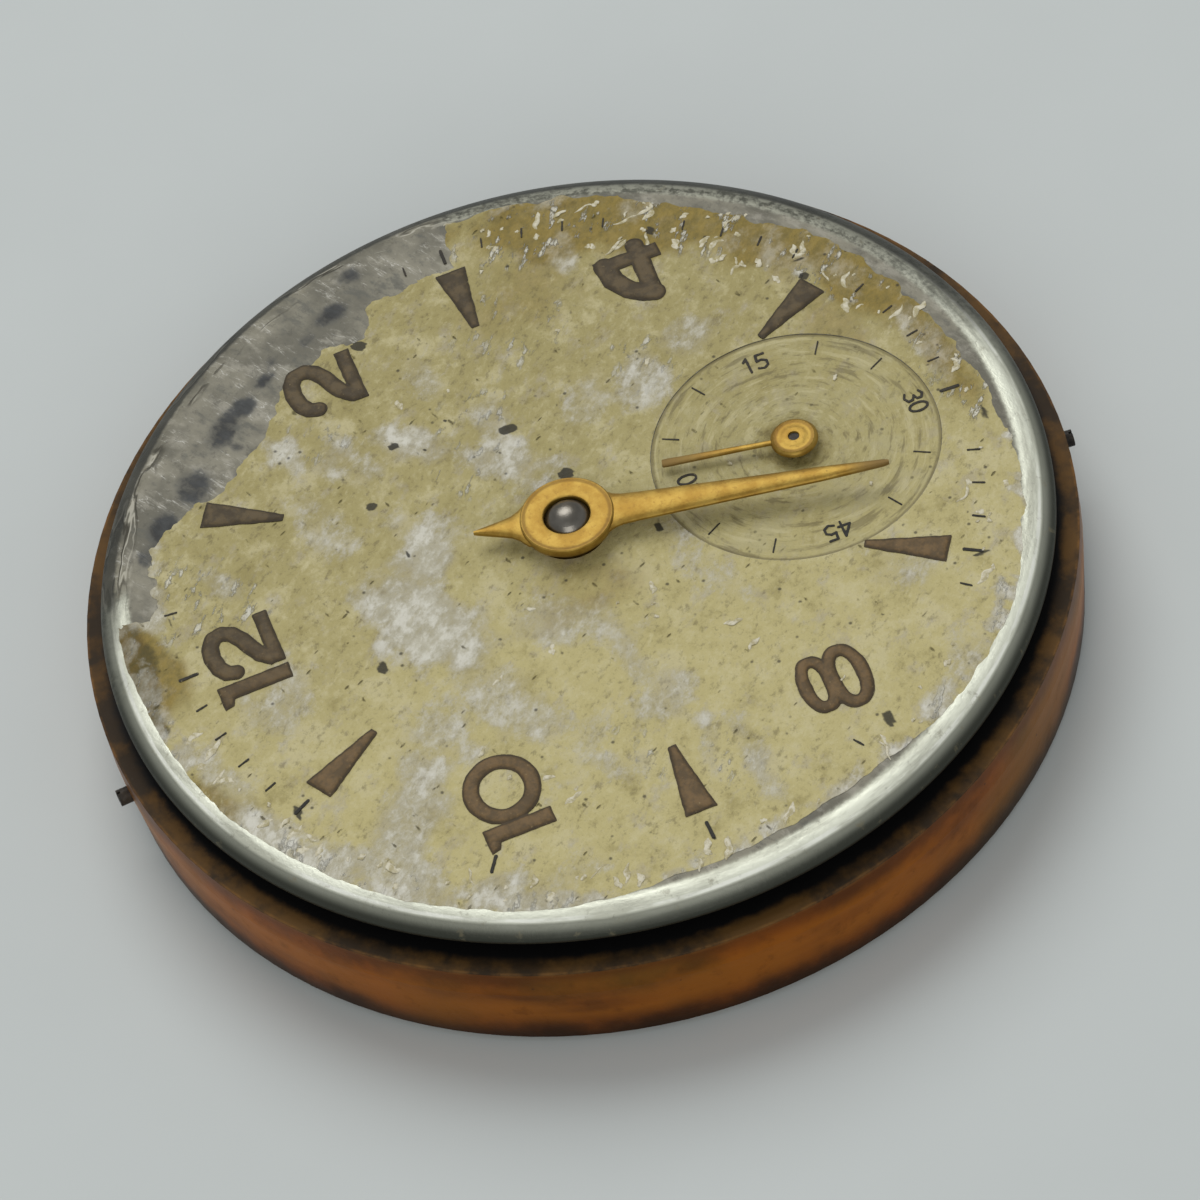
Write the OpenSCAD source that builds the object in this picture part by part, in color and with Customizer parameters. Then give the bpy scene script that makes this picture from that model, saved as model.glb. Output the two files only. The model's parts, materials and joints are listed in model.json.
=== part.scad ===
// Hand-wound watch movement with small seconds, lying on its bridges with the dial up.
// The hands' axis is Z, 12 o'clock is +Y and the winding stem points to 3 o'clock, +X.

/* [Main plate] */
// Radius of the plate's outer wall where a case ring fits
plate_r = 14.6; // [14.55:0.01:14.65]
// Radius of the wall at its lower edge
wall_foot_r = 14.4; // [14.3:0.05:14.5]
// Radius of the space inside the wall
cavity_r = 13.2; // [13.15:0.05:13.3]
// Height of the wall's lower edge
wall_z = 0.27; // [0.2:0.01:0.4]
// Height of the plate's floor on the bridge side
floor_z = 2.9; // [2.88:0.01:2.92]
// Height of the recess floor under the dial
recess_z = 3.65; // [3.63:0.01:3.67]
// Height of the ledge around the dial
ledge_z = 3.6; // [3.5:0.05:3.65]

/* [Dial] */
// Radius of the dial's rolled rim
dial_r = 14; // [13.8:0.05:14.1]
// Height of the dial's seat
dial_seat_z = 4.55; // [4.54:0.01:4.6]
// Height of the dial's top at the centre
dial_top_z = 5.1; // [5.05:0.01:5.12]
// Radius of the small seconds disc
seconds_disc_r = 4.25; // [4:0.05:4.4]

/* [Hands] */
// Length of the minute hand from its axis
minute_hand_l = 9.4; // [9:0.1:10]
// Clock angle of the minute hand, in degrees from 12
minute_hand_turn = 195; // [0:1:359]
// Length of the seconds hand from its axis
seconds_hand_l = 3.9; // [3.5:0.1:4]
// Clock angle of the seconds hand, in degrees from 12
seconds_hand_turn = 13; // [0:1:359]

/* [Train] */
// Distance from the hands' axis to the small seconds axis
seconds_y = 7; // [6.98:0.01:7.02]
// Module of the barrel and the centre pinion
barrel_m = 0.1555; // [0.155:0.0005:0.156]
// Module of the centre wheel and the third pinion
centre_m = 0.12; // [0.12:0.001:0.121]
// Module of the third wheel and the fourth pinion
third_m = 0.105; // [0.105:0.001:0.106]
// Module of the fourth wheel and the escape pinion
fourth_m = 0.095; // [0.095:0.001:0.096]
// Module of the wheels under the dial
dial_m = 0.165; // [0.165:0.001:0.166]
// Module of the ratchet, crown wheel and winding pinion
winding_m = 0.2; // [0.2:0.001:0.201]

/* [Balance] */
// Radius over the balance screws
balance_r = 4.4; // [4.2:0.05:4.45]
// Turns of the hairspring
hair_turns = 7; // [5:1:8]
// Turns of the mainspring
main_turns = 7; // [5:1:8]

/* [Bridges] */
// Thickness of the bridges
bridge_t = 1.05; // [1:0.01:1.06]
// Radius of the bridges' outer edge
bridge_r = 13.05; // [12.9:0.05:13.1]

/* [Winding] */
// Height of the stem's axis
stem_z = 2.05; // [2.04:0.01:2.06]
// How far the stem stands out of the wall
stem_out = 1; // [0.9:0.05:1.2]
// Radius of the stem's shank in the wall
shank_r = 0.6; // [0.58:0.01:0.62]
// Radius of the stem's thread for the crown
thread_r = 0.4; // [0.38:0.01:0.42]
// Length of the stem's thread
thread_l = 0.8; // [0.7:0.05:0.9]

/* [Hidden] */
$fn = 48;

// Colours
brass = "#c9a14a";
gilt = "#d8a83c";
copper = "#a8602c";
steel = "#9a9da0";
blue_steel = "#3a4f7c";
ruby = "#b02048";
dial_paint = "#c9bd86";

// Teeth of every wheel and pinion
barrel_n = 72;
centre_pinion_n = 12;
centre_n = 64;
third_pinion_n = 8;
third_n = 60;
fourth_pinion_n = 8;
fourth_n = 60;
escape_pinion_n = 6;
escape_n = 15;
cannon_n = 10;
minute_n = 30;
minute_pinion_n = 8;
hour_n = 32;
setting_n = 16;
ratchet_n = 50;
crown_n = 27;
winding_n = 16;
sliding_n = 15;

// A tooth: height over and depth under the pitch circle in modules, then its widths at
// root and tip as shares of the pitch
wheel_tooth = [0.75, 1.1, 0.55, 0.22];
leaf_tooth = [0.6, 1.2, 0.42, 0.2];

function dir(a) = [cos(a), sin(a)];
function heading(from, to) = atan2(to[1] - from[1], to[0] - from[0]);
function pitch_r(n, m) = n * m / 2;
// Turn of a wheel whose gap meets the tooth of a neighbour that lies at heading a
function in_mesh(a, turn, n, other_n) = a + 180 - (turn - a) * n / other_n - 180 / other_n;

// Axes in plan
centre = [0, 0];
fourth_at = [0, -seconds_y];
centre_third = pitch_r(centre_n + third_pinion_n, centre_m);
third_fourth = pitch_r(third_n + fourth_pinion_n, third_m);
third_y = -(pow(centre_third, 2) - pow(third_fourth, 2) + pow(seconds_y, 2)) / 2 / seconds_y;
third_at = [sqrt(pow(centre_third, 2) - pow(third_y, 2)), third_y];
escape_at = fourth_at + pitch_r(fourth_n + escape_pinion_n, fourth_m) * dir(197);
balance_at = [-7.4, -4.4];
escape_r = 1.98;
fork_heading = heading(escape_at, balance_at);
pallet_at = escape_at + (escape_r + 0.02) / cos(30) * dir(fork_heading);
barrel_at = pitch_r(barrel_n + centre_pinion_n, barrel_m) * dir(62);
ratchet_crown = pitch_r(ratchet_n + crown_n, winding_m);
crown_at = [barrel_at[0] + sqrt(pow(ratchet_crown, 2) - pow(barrel_at[1], 2)), 0];
minute_at = pitch_r(cannon_n + minute_n, dial_m) * dir(-20);
minute_setting = pitch_r(minute_n + setting_n, dial_m);
setting_at = [minute_at[0] + sqrt(pow(minute_setting, 2) - pow(minute_at[1], 2)), 0];

// Turns that put each pinion in mesh at rest
centre_pinion_turn = in_mesh(heading(barrel_at, centre), 0, barrel_n, centre_pinion_n);
third_pinion_turn = in_mesh(heading(centre, third_at), 0, centre_n, third_pinion_n);
fourth_pinion_turn = in_mesh(heading(third_at, fourth_at), 0, third_n, fourth_pinion_n);
escape_pinion_turn = in_mesh(197, 0, fourth_n, escape_pinion_n);
minute_wheel_turn = in_mesh(-20, 0, cannon_n, minute_n);
hour_wheel_turn = in_mesh(160, 0, minute_pinion_n, hour_n);
setting_turn = in_mesh(heading(minute_at, setting_at), minute_wheel_turn, minute_n, setting_n);
ratchet_turn = in_mesh(heading(crown_at, barrel_at), 0, crown_n, ratchet_n);

// Fastenings and keyless work in plan
barrel_bridge_screws_at = [[-5.6, 9.8], [11.1, 4.9], [-5, 3], [10.6, -3.3]];
train_bridge_screws_at = [[8.6, -9], [4.4, -11.3], [-5.2, -11.2]];
cock_screw_at = [-10.4, 3.4];
bridge_screws_at = concat(barrel_bridge_screws_at, train_bridge_screws_at, [cock_screw_at]);
foot_turns = [184.7, 355.7];
foot_axis_r = 12.4;
lever_at = [11.7, 2.37];
lever_pin_at = [12.55, -0.13];
yoke_at = [9.8, 4];
yoke_tip_at = [9.8, 0];
setting_feet_at = [[11.1, 4.3], [7.7, 2.4]];
click_at = barrel_at + 6.5 * dir(150);
click_tip_at = barrel_at + 5.34 * dir(135);
stud_at = balance_at + 2.45 * dir(150);
jewel_reach = 0.75;
tip_dome_r = 0.8;
tip_dome_z = 5.18;
clutch_r = 1.3;
pallet_side = dir(fork_heading - 90);
pallet_screws_at = [pallet_at + 2.4 * pallet_side, pallet_at - 2.4 * pallet_side];

// A point in plan moves its children there
module at(p) translate([p[0], p[1], 0]) children();

module disc(r, z0, z1) translate([0, 0, z0]) cylinder(r = r, h = z1 - z0);

module ring(r_out, r_in, z0, z1) {
    difference() {
        disc(r_out, z0, z1);
        disc(r_in, z0 - 1, z1 + 1);
    }
}

module slab(z0, z1) translate([0, 0, z0]) linear_extrude(z1 - z0) children();

// A straight bar with round ends between two points in plan
module bar(a, b, w) {
    reach = norm(b - a);
    translate(a) rotate(heading(a, b)) translate([0, -w / 2]) square([reach, w]);
    translate(a) circle(w / 2);
    translate(b) circle(w / 2);
}

module box(x0, x1, y0, y1, z0, z1) translate([x0, y0, z0]) cube([x1 - x0, y1 - y0, z1 - z0]);

// A round piece along the stem's axis
module along_stem(r, x0, x1) translate([x0, 0, stem_z]) rotate([0, 90, 0]) cylinder(r = r, h = x1 - x0);

module gear(n, m, tooth, turn = 0) {
    root = pitch_r(n, m) - tooth[1] * m;
    tip = pitch_r(n, m) + tooth[0] * m;
    half = 180 / n;
    corners = [[root, -tooth[2]], [tip, -tooth[3]], [tip, tooth[3]], [root, tooth[2]]];
    rotate(turn) polygon([for (k = [0 : n - 1], c = corners) c[0] * dir(360 * k / n + c[1] * half)]);
}

// A toothed wheel with spokes and a round seat
module wheel(n, m, seat_r, hub_r, rim_w, spokes, spoke_w) {
    rim_in = pitch_r(n, m) - 1.1 * m - rim_w;
    difference() {
        gear(n, m, wheel_tooth);
        circle(seat_r);
        difference() {
            circle(rim_in);
            circle(hub_r);
            for (k = [0 : spokes - 1])
                rotate(360 * k / spokes) translate([0, -spoke_w / 2]) square([rim_in + 1, spoke_w]);
        }
    }
}

// A flat spiral strip with its outer end at heading a
module spiral(r_in, r_out, turns, w, a, steps = 20) {
    count = turns * steps;
    function strip(k, side) = (r_in + (r_out - r_in) * k / count + side) * dir(a + 360 * k / steps);
    polygon(concat([for (k = [0 : count]) strip(k, w / 2)], [for (k = [count : -1 : 0]) strip(k, -w / 2)]));
}

// A screw with its head down and a slot across the head
module screw(head_r, shank_r, z_head, z_neck, z_end, slot = 30) {
    difference() {
        union() {
            disc(head_r, z_head, z_neck);
            disc(shank_r, z_neck, z_end);
        }
        translate([0, 0, z_head]) rotate(slot) cube([3 * head_r, 0.18 * head_r + 0.06, 0.2], center = true);
    }
}

module foot_places() {
    for (turn = foot_turns) rotate(-turn) translate([0, foot_axis_r]) children();
}

// Plate and dial

module main_plate() {
    pivot_r = 0.6;
    color(copper) difference() {
        union() {
            difference() {
                union() {
                    translate([0, 0, wall_z]) cylinder(r1 = wall_foot_r, r2 = plate_r, h = 2.6 - wall_z);
                    disc(plate_r, 2.6, ledge_z);
                    disc(13.25, ledge_z, dial_seat_z);
                }
                disc(cavity_r, 0, floor_z);
                slab(recess_z, 5) circle(6.1);
                slab(recess_z, 5) intersection() {
                    circle(12.6);
                    translate([5, -2.3]) square([9, 7.9]);
                }
            }
            intersection() {
                disc(cavity_r + 0.2, bridge_t, floor_z + 0.1);
                union() {
                    for (p = barrel_bridge_screws_at) at(p) disc(0.9, bridge_t, floor_z + 0.1);
                    for (p = train_bridge_screws_at) at(p) disc(1.3, bridge_t, floor_z + 0.1);
                    at(cock_screw_at) disc(1.7, bridge_t, floor_z + 0.1);
                    foot_places() disc(1, 1.3, floor_z + 0.1);
                    box(6.9, 7.6, -0.8, 0.8, 1.3, floor_z + 0.1);
                }
            }
            at(minute_at) disc(0.25, recess_z - 0.1, 4.45);
            at(yoke_at) disc(0.25, recess_z - 0.1, 4.05);
        }
        disc(4.15, floor_z - 0.1, 3.2);
        disc(0.9, 3, 4);
        at(third_at) disc(0.75, floor_z - 0.1, 3.27);
        at(third_at) disc(pivot_r, 3.2, 4);
        at(fourth_at) disc(pivot_r, floor_z - 0.1, 3.5);
        at(fourth_at) disc(0.4, 3.4, 5);
        at(escape_at) disc(pivot_r, floor_z - 0.1, 3.4);
        at(pallet_at) disc(pivot_r, floor_z - 0.1, 3.4);
        at(balance_at) disc(pivot_r, floor_z - 0.1, 3.4);
        at(barrel_at) disc(0.64, floor_z - 0.1, 3.63);
        difference() {
            at(setting_at) disc(1.55, 3.15, 4);
            at(setting_at) disc(0.3, 3, 4.05);
        }
        box(8.2, 12.15, -1.95, 1.95, floor_z - 0.1, recess_z + 0.1);
        slab(stem_z, recess_z + 0.1) translate([12.25, -0.4]) square([1.1, 0.82]);
        slab(recess_z, 5) translate([12, -0.7]) square([1.6, 2.4]);
        along_stem(shank_r + 0.04, 12.9, 15);
        along_stem(0.3, 6.5, 8);
        at(lever_at) disc(0.25, floor_z - 0.1, recess_z + 0.1);
        for (p = setting_feet_at) at(p) disc(0.2, 3.1, recess_z + 0.1);
        for (p = pallet_screws_at) at(p) disc(0.2, floor_z - 0.1, 3.3);
        for (p = bridge_screws_at) at(p) disc(0.28, 1, 2.6);
        foot_places() disc(0.42, 1.9, 5);
        for (turn = foot_turns) rotate(90 - turn) translate([12.6, 0, 2.3]) rotate([0, 90, 0])
            cylinder(r = 0.25, h = 3);
        for (y = [-13.8, 13.8]) at([0, y]) disc(0.35, 0, 1.6);
    }
}

// A ruby ring with its pivot hole
module jewel(p, r, hole_r, z0, z1) at(p) ring(r, hole_r, z0, z1);

module plate_jewels() {
    color(ruby) {
        jewel(centre, 0.9, 0.53, 3.2, recess_z);
        jewel(third_at, 0.6, 0.15, 3.27, recess_z);
        jewel(fourth_at, 0.6, 0.19, floor_z, 3.5);
        for (p = [escape_at, pallet_at, balance_at]) jewel(p, 0.6, 0.13, floor_z, 3.4);
    }
}

module dial() {
    rim_r = dial_r - 1.05;
    dome = 0.18;
    color(dial_paint) difference() {
        union() {
            rotate_extrude($fn = 96) polygon(concat(
                [[0, dial_seat_z], [13.3, dial_seat_z], [dial_r - 0.25, 4.3], [dial_r - 0.06, 4.2]],
                [[dial_r, 4.28], [dial_r, 4.4], [dial_r - 0.08, 4.5]],
                [[dial_r - 0.3, 4.68], [dial_r - 0.65, 4.85]],
                [for (k = [8 : -1 : 0]) [rim_r * k / 8, dial_top_z - dome * pow(k / 8, 2)]]));
            foot_places() disc(0.4, 2, dial_seat_z + 0.1);
        }
        disc(1.1, 4, 6);
        at(fourth_at) disc(0.4, 4, 6);
        at(fourth_at) disc(seconds_disc_r, 4.9, 6);
    }
}

module dial_foot_screws() {
    color("#2b2622") for (turn = foot_turns) rotate(90 - turn) translate([12.8, 0, 2.3]) rotate([0, 90, 0])
        difference() {
            cylinder(r = 0.25, h = 2.14);
            translate([0, 0, 2.14]) cube([1, 0.08, 0.2], center = true);
        }
}

module dial_washer() {
    color(brass) ring(2.1, 1.15, 4.43, dial_seat_z);
}

// Hands

module minute_hand() {
    l = minute_hand_l;
    edge = [[0.05, -2.9], [0.62, -0.9], [0.44, 1.2], [0.28, 0.58 * l], [0.24, 0.79 * l], [0.09, l]];
    color(gilt) rotate(-minute_hand_turn) difference() {
        union() {
            rotate([1, 0, 0]) slab(5.54, 5.72)
                polygon(concat(edge, [for (k = [5 : -1 : 0]) [-edge[k][0], edge[k][1]]]));
            rotate_extrude() polygon(concat(
                [[0, 5.46], [1.3, 5.46], [1.38, 5.54]],
                [[1.38, 5.68], [1.24, 5.78], [0.95, 5.8], [0, 5.8]]));
        }
        disc(0.67, 5, 6);
    }
}

module seconds_hand() {
    l = seconds_hand_l;
    color(gilt) at(fourth_at) difference() {
        union() {
            rotate(-seconds_hand_turn) slab(5.28, 5.4)
                polygon([[-0.14, l], [-0.08, 0.5], [-0.08, 0], [0.08, 0], [0.08, 0.5], [0.14, l]]);
            rotate_extrude()
                polygon([[0, 5.22], [0.66, 5.22], [0.7, 5.28], [0.7, 5.38], [0.6, 5.44], [0, 5.46]]);
            disc(0.3, 4.98, 5.3);
        }
        disc(0.15, 4, 6);
    }
}

// Motion work under the dial

// Upright post from z = low, its top cut to the dome that the cannon pinion and centre arbor share
module domed_post(r, low) {
    rotate_extrude() intersection() {
        translate([0, low]) square([r, 6 - low]);
        union() {
            translate([0, tip_dome_z]) circle(tip_dome_r);
            translate([0, low]) square([r, tip_dome_z - low]);
        }
    }
}

module cannon_pinion() {
    color(steel) difference() {
        union() {
            slab(3.72, 4.1) gear(cannon_n, dial_m, leaf_tooth);
            disc(0.6, 3.72, 4.2);
            domed_post(0.67, 4.14);
        }
        disc(0.5, 3, 6);
    }
}

module hour_wheel() {
    color(brass) difference() {
        union() {
            slab(4.2, 4.4) rotate(hour_wheel_turn) gear(hour_n, dial_m, wheel_tooth);
            disc(1, 4.3, 5.42);
        }
        disc(0.72, 4, 6);
    }
}

module minute_wheel() {
    color(brass) at(minute_at) difference() {
        union() {
            slab(3.75, 3.95) rotate(minute_wheel_turn) wheel(minute_n, dial_m, 0.28, 0.9, 0.35, 4, 0.4);
            slab(3.9, 4.42) gear(minute_pinion_n, dial_m, leaf_tooth);
        }
        disc(0.28, 3, 5);
    }
}

module setting_wheel() {
    color(steel) at(setting_at) slab(3.2, 3.95) difference() {
        gear(setting_n, dial_m, leaf_tooth, setting_turn);
        circle(0.34);
    }
}

// Keyless work

module setting_lever() {
    color(steel) difference() {
        union() {
            slab(3.75, 4) {
                bar(lever_at, lever_pin_at, 0.5);
                bar(lever_at, lever_at + [-1.15, 0.25], 0.4);
                translate(lever_at) circle(0.62);
            }
            at(lever_pin_at) disc(0.15, stem_z + 0.27, 3.8);
        }
        at(lever_at) disc(0.28, 3, 5);
    }
}

module setting_lever_screw() {
    color(blue_steel) at(lever_at) difference() {
        union() {
            disc(0.5, 4.03, 4.28);
            disc(0.25, 2.95, 4.03);
        }
        translate([0, 0, 4.28]) rotate(20) cube([2, 0.15, 0.2], center = true);
    }
}

module yoke() {
    color(steel) difference() {
        union() {
            slab(3.75, 4) {
                bar(yoke_at, yoke_tip_at, 0.44);
                translate(yoke_at) circle(0.55);
            }
            box(yoke_tip_at[0] - 0.15, yoke_tip_at[0] + 0.15, -0.3, 0.3, stem_z + 0.74, 3.8);
        }
        at(yoke_at) disc(0.28, 3, 5);
    }
}

module yoke_spring() {
    color(steel) slab(3.78, 3.98) {
        bar([8.2, 4.9], [8.75, 4.3], 0.16);
        bar([8.75, 4.3], [9.3, 3.3], 0.14);
        bar([9.3, 3.3], [9.49, 2.2], 0.12);
        translate([8.2, 4.9]) circle(0.4);
    }
}

module setting_bridge() {
    color(steel) difference() {
        union() {
            slab(4.08, 4.3) {
                bar(setting_feet_at[0], setting_feet_at[1], 1.1);
                bar(setting_feet_at[0], yoke_at, 1.3);
                bar(setting_feet_at[0], [11.75, 3.45], 0.4);
            }
            for (p = setting_feet_at) at(p) disc(0.5, recess_z, 4.1);
        }
        for (p = setting_feet_at) at(p) disc(0.2, 3, 5);
    }
}

module setting_bridge_screws() {
    color(blue_steel) for (p = setting_feet_at) at(p) difference() {
        union() {
            disc(0.42, 4.3, 4.5);
            disc(0.2, 3.1, 4.3);
        }
        translate([0, 0, 4.5]) rotate(70) cube([1, 0.12, 0.16], center = true);
    }
}

module winding_stem() {
    end = plate_r + stem_out;
    color(steel) {
        along_stem(0.27, 6.95, 7.65);
        difference() {
            along_stem(0.355, 7.6, 11.12);
            for (k = [0 : 3]) translate([0, 0, stem_z]) rotate([90 * k, 0, 0]) box(7, 11.1, 0.25, 1, -1, 1);
        }
        along_stem(0.38, 11.1, 12.3);
        along_stem(0.22, 12.2, 12.9);
        along_stem(shank_r, 12.8, end - thread_l);
        along_stem(thread_r, end - thread_l - 0.1, end);
    }
}

// Teeth that stand on a face square to the stem, pointing along it
module face_teeth(n, r_in, r_out, x0, x1, w, turn) {
    for (k = [0 : n - 1]) translate([0, 0, stem_z]) rotate([turn + 360 * k / n, 0, 0])
        box(x0, x1, r_in, r_out, -w / 2, w / 2);
}

module sliding_pinion() {
    wedge = 0.16;
    color(steel) difference() {
        union() {
            face_teeth(sliding_n, 0.95, clutch_r, 8.75, 9.1, wedge, 0);
            along_stem(clutch_r, 9, 9.55);
            along_stem(0.62, 9.5, 10.1);
            along_stem(1.2, 10.05, 10.95);
            face_teeth(6, 0.5, 0.8, 10.9, 11.1, 0.2, 0);
        }
        box(8, 12, -0.29, 0.29, stem_z - 0.29, stem_z + 0.29);
    }
}

module winding_pinion() {
    wedge = 0.16;
    color(steel) difference() {
        union() {
            face_teeth(winding_n, 1.42, 1.74, 10.86, 11.25, wedge, 180 / winding_n);
            along_stem(1.74, 11.2, 11.6);
            face_teeth(6, 0.5, 0.8, 10.98, 11.25, 0.2, 30);
            along_stem(0.9, 11.5, 12.05);
        }
        along_stem(0.42, 10, 13);
    }
}

// Barrel

module barrel_drum() {
    color(brass) at(barrel_at) difference() {
        union() {
            slab(1.15, 1.45) gear(barrel_n, barrel_m, wheel_tooth);
            disc(5.25, 1.4, 2.85);
        }
        disc(5, 1.4, 3);
        disc(0.84, 1, 2);
    }
}

module barrel_cover() {
    color(brass) at(barrel_at) difference() {
        disc(5, 2.6, 2.8);
        disc(0.64, 2, 3);
        translate([4.6, -0.3, 2]) cube([1, 0.6, 2]);
    }
}

module barrel_arbor() {
    color(steel) at(barrel_at) difference() {
        union() {
            translate([-0.5, -0.5, 0.3]) cube([1, 1, 0.4]);
            disc(0.8, 0.6, 1.5);
            disc(1.5, 1.45, 2.55);
            disc(0.6, 2.5, 3.6);
        }
        disc(0.3, 0, 1);
    }
}

module mainspring() {
    color(steel) at(barrel_at) slab(1.5, 2.5) spiral(1.8, 4.85, main_turns, 0.14, 0);
}

// Train

module centre_wheel() {
    color(gilt) slab(2.95, 3.15) wheel(centre_n, centre_m, 0.5, 1.1, 0.4, 5, 0.4);
}

module centre_pinion() {
    color(steel) {
        disc(0.25, 0.5, 1.15);
        slab(1.12, 1.55) gear(centre_pinion_n, barrel_m, leaf_tooth, centre_pinion_turn);
        disc(0.6, 1.5, 2.95);
        domed_post(0.5, 2.9);
    }
}

module third_wheel() {
    color(gilt) at(third_at) slab(1.75, 1.95) wheel(third_n, third_m, 0.3, 0.7, 0.35, 5, 0.35);
}

module third_pinion() {
    color(steel) at(third_at) {
        disc(0.12, 0.5, 1.2);
        disc(0.3, 1.12, 2.9);
        slab(2.84, 3.2) gear(third_pinion_n, centre_m, leaf_tooth, third_pinion_turn);
        disc(0.12, 3.1, 3.6);
    }
}

module fourth_wheel() {
    color(gilt) at(fourth_at) slab(2.25, 2.4) wheel(fourth_n, fourth_m, 0.25, 0.6, 0.3, 5, 0.3);
}

module fourth_pinion() {
    color(steel) at(fourth_at) {
        disc(0.12, 0.5, 1.2);
        disc(0.25, 1.12, 2.86);
        slab(1.6, 2.1) gear(fourth_pinion_n, third_m, leaf_tooth, fourth_pinion_turn);
        disc(0.15, 2.8, 5.4);
    }
}

// Escapement

module escape_wheel() {
    corners = [[1.45, 0], [1.45, 8], [1.88, 14], [escape_r, 17.5], [1.5, 18]];
    color(steel) at(escape_at) slab(2.6, 2.75) difference() {
        polygon([for (k = [0 : escape_n - 1], c = corners) c[0] * dir(360 * k / escape_n + c[1])]);
        circle(0.17);
        difference() {
            circle(1.2);
            circle(0.45);
            for (k = [0 : 3]) rotate(90 * k) translate([0, -0.12]) square([1.5, 0.24]);
        }
    }
}

module escape_pinion() {
    color(steel) at(escape_at) {
        disc(0.1, 0.5, 1.2);
        disc(0.17, 1.12, 2.86);
        slab(2.1, 2.5) gear(escape_pinion_n, fourth_m, leaf_tooth, escape_pinion_turn);
        disc(0.1, 2.8, 3.35);
    }
}

// Places of the two stones, each square to the escape wheel's rim
module stone_places() {
    for (side = [-1, 1]) at(escape_at) rotate(fork_heading + 30 * side) translate([escape_r + 0.14, 0])
        children();
}

module pallet_stones() {
    color(ruby) stone_places() translate([0, -0.12, 2.58]) cube([0.5, 0.24, 0.19]);
}

module pallet_fork() {
    tail = pallet_at + 2.3 * dir(fork_heading);
    dart = pallet_at + 2.85 * dir(fork_heading);
    horn = [[-0.2, -0.2], [0, -0.36], [0.45, -0.4], [0.5, -0.2], [0.15, -0.13]];
    color(steel) difference() {
        union() {
            slab(2.6, 2.75) {
                bar(pallet_at, tail, 0.3);
                translate(pallet_at) circle(0.4);
                for (side = [-1, 1])
                    bar(pallet_at, escape_at + (escape_r + 0.42) * dir(fork_heading + 25.5 * side), 0.36);
                translate(tail) rotate(fork_heading)
                    polygon(concat(horn, [for (k = [len(horn) - 1 : -1 : 0]) [horn[k][0], -horn[k][1]]]));
            }
            slab(2.74, 2.83) bar(tail - 0.3 * dir(fork_heading), dart, 0.1);
        }
        at(pallet_at) disc(0.15, 2, 3);
        stone_places() translate([0, -0.12, 2]) cube([0.5, 0.24, 1]);
        stone_places() translate([-1, -0.5, 2]) cube([1.08, 1, 1]);
    }
}

module pallet_arbor() {
    color(steel) at(pallet_at) {
        disc(0.1, 2.08, 2.5);
        disc(0.15, 2.43, 2.87);
        disc(0.1, 2.8, 3.35);
    }
}

module pallet_bridge() {
    color(brass) difference() {
        union() {
            slab(2.05, 2.4) {
                bar(pallet_screws_at[0], pallet_screws_at[1], 1.3);
            }
            for (p = pallet_screws_at) at(p) disc(0.6, 2.3, floor_z);
        }
        at(pallet_at) disc(0.13, 2, 3);
        for (p = pallet_screws_at) at(p) disc(0.2, 2, 3);
        for (p = pallet_screws_at) at(p) disc(0.5, 1.9, 2.12);
    }
}

module pallet_bridge_screws() {
    color(blue_steel) for (p = pallet_screws_at) at(p) screw(0.46, 0.2, 1.9, 2.12, 3.25);
}

// Balance

module balance_wheel() {
    color(gilt) at(balance_at) {
        ring(balance_r - 0.25, balance_r - 0.65, 1.45, 1.8);
        difference() {
            slab(1.5, 1.75) {
                translate([-balance_r + 0.5, -0.25]) square([2 * balance_r - 1, 0.5]);
                circle(0.85);
            }
            disc(0.45, 1, 2);
        }
    }
}

module balance_screws() {
    color(gilt) at(balance_at) for (k = [0 : 11]) rotate(15 + 30 * k)
        translate([balance_r - 0.25, 0, 1.625]) rotate([0, 90, 0]) cylinder(r = 0.14, h = 0.25);
}

module balance_staff() {
    color(steel) at(balance_at) {
        disc(0.1, 0.62, 1.1);
        disc(0.25, 1.08, 1.5);
        disc(0.45, 1.42, 1.85);
        disc(0.3, 1.8, 2.05);
        disc(0.14, 2, 2.86);
        disc(0.1, 2.8, 3.3);
    }
}

// The roller carries the impulse jewel, and a small safety disc with a hollow for the fork's dart
module roller() {
    to_fork = dir(fork_heading + 180);
    color(steel) at(balance_at) difference() {
        union() {
            disc(0.95, 2.05, 2.2);
            disc(0.24, 2.1, 2.8);
            disc(0.33, 2.76, 2.83);
        }
        disc(0.14, 2, 3);
        translate(jewel_reach * to_fork) disc(0.1, 2, 2.4);
        translate(0.42 * to_fork) disc(0.15, 2.5, 3);
    }
}

module impulse_jewel() {
    color(ruby) at(balance_at + jewel_reach * dir(fork_heading + 180)) disc(0.1, 2.05, 2.55);
}

module hairspring() {
    color(blue_steel) at(balance_at) slab(1.15, 1.3) spiral(0.64, 2.45, hair_turns, 0.06, 150);
}

module hairspring_collet() {
    color(brass) at(balance_at) ring(0.6, 0.25, 1.12, 1.36);
}

module hairspring_stud() {
    color(steel) at(stud_at) difference() {
        disc(0.22, 0.3, 1.36);
        translate([0, 0, 1.2]) rotate(60) cube([1, 0.12, 0.4], center = true);
    }
}

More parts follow.
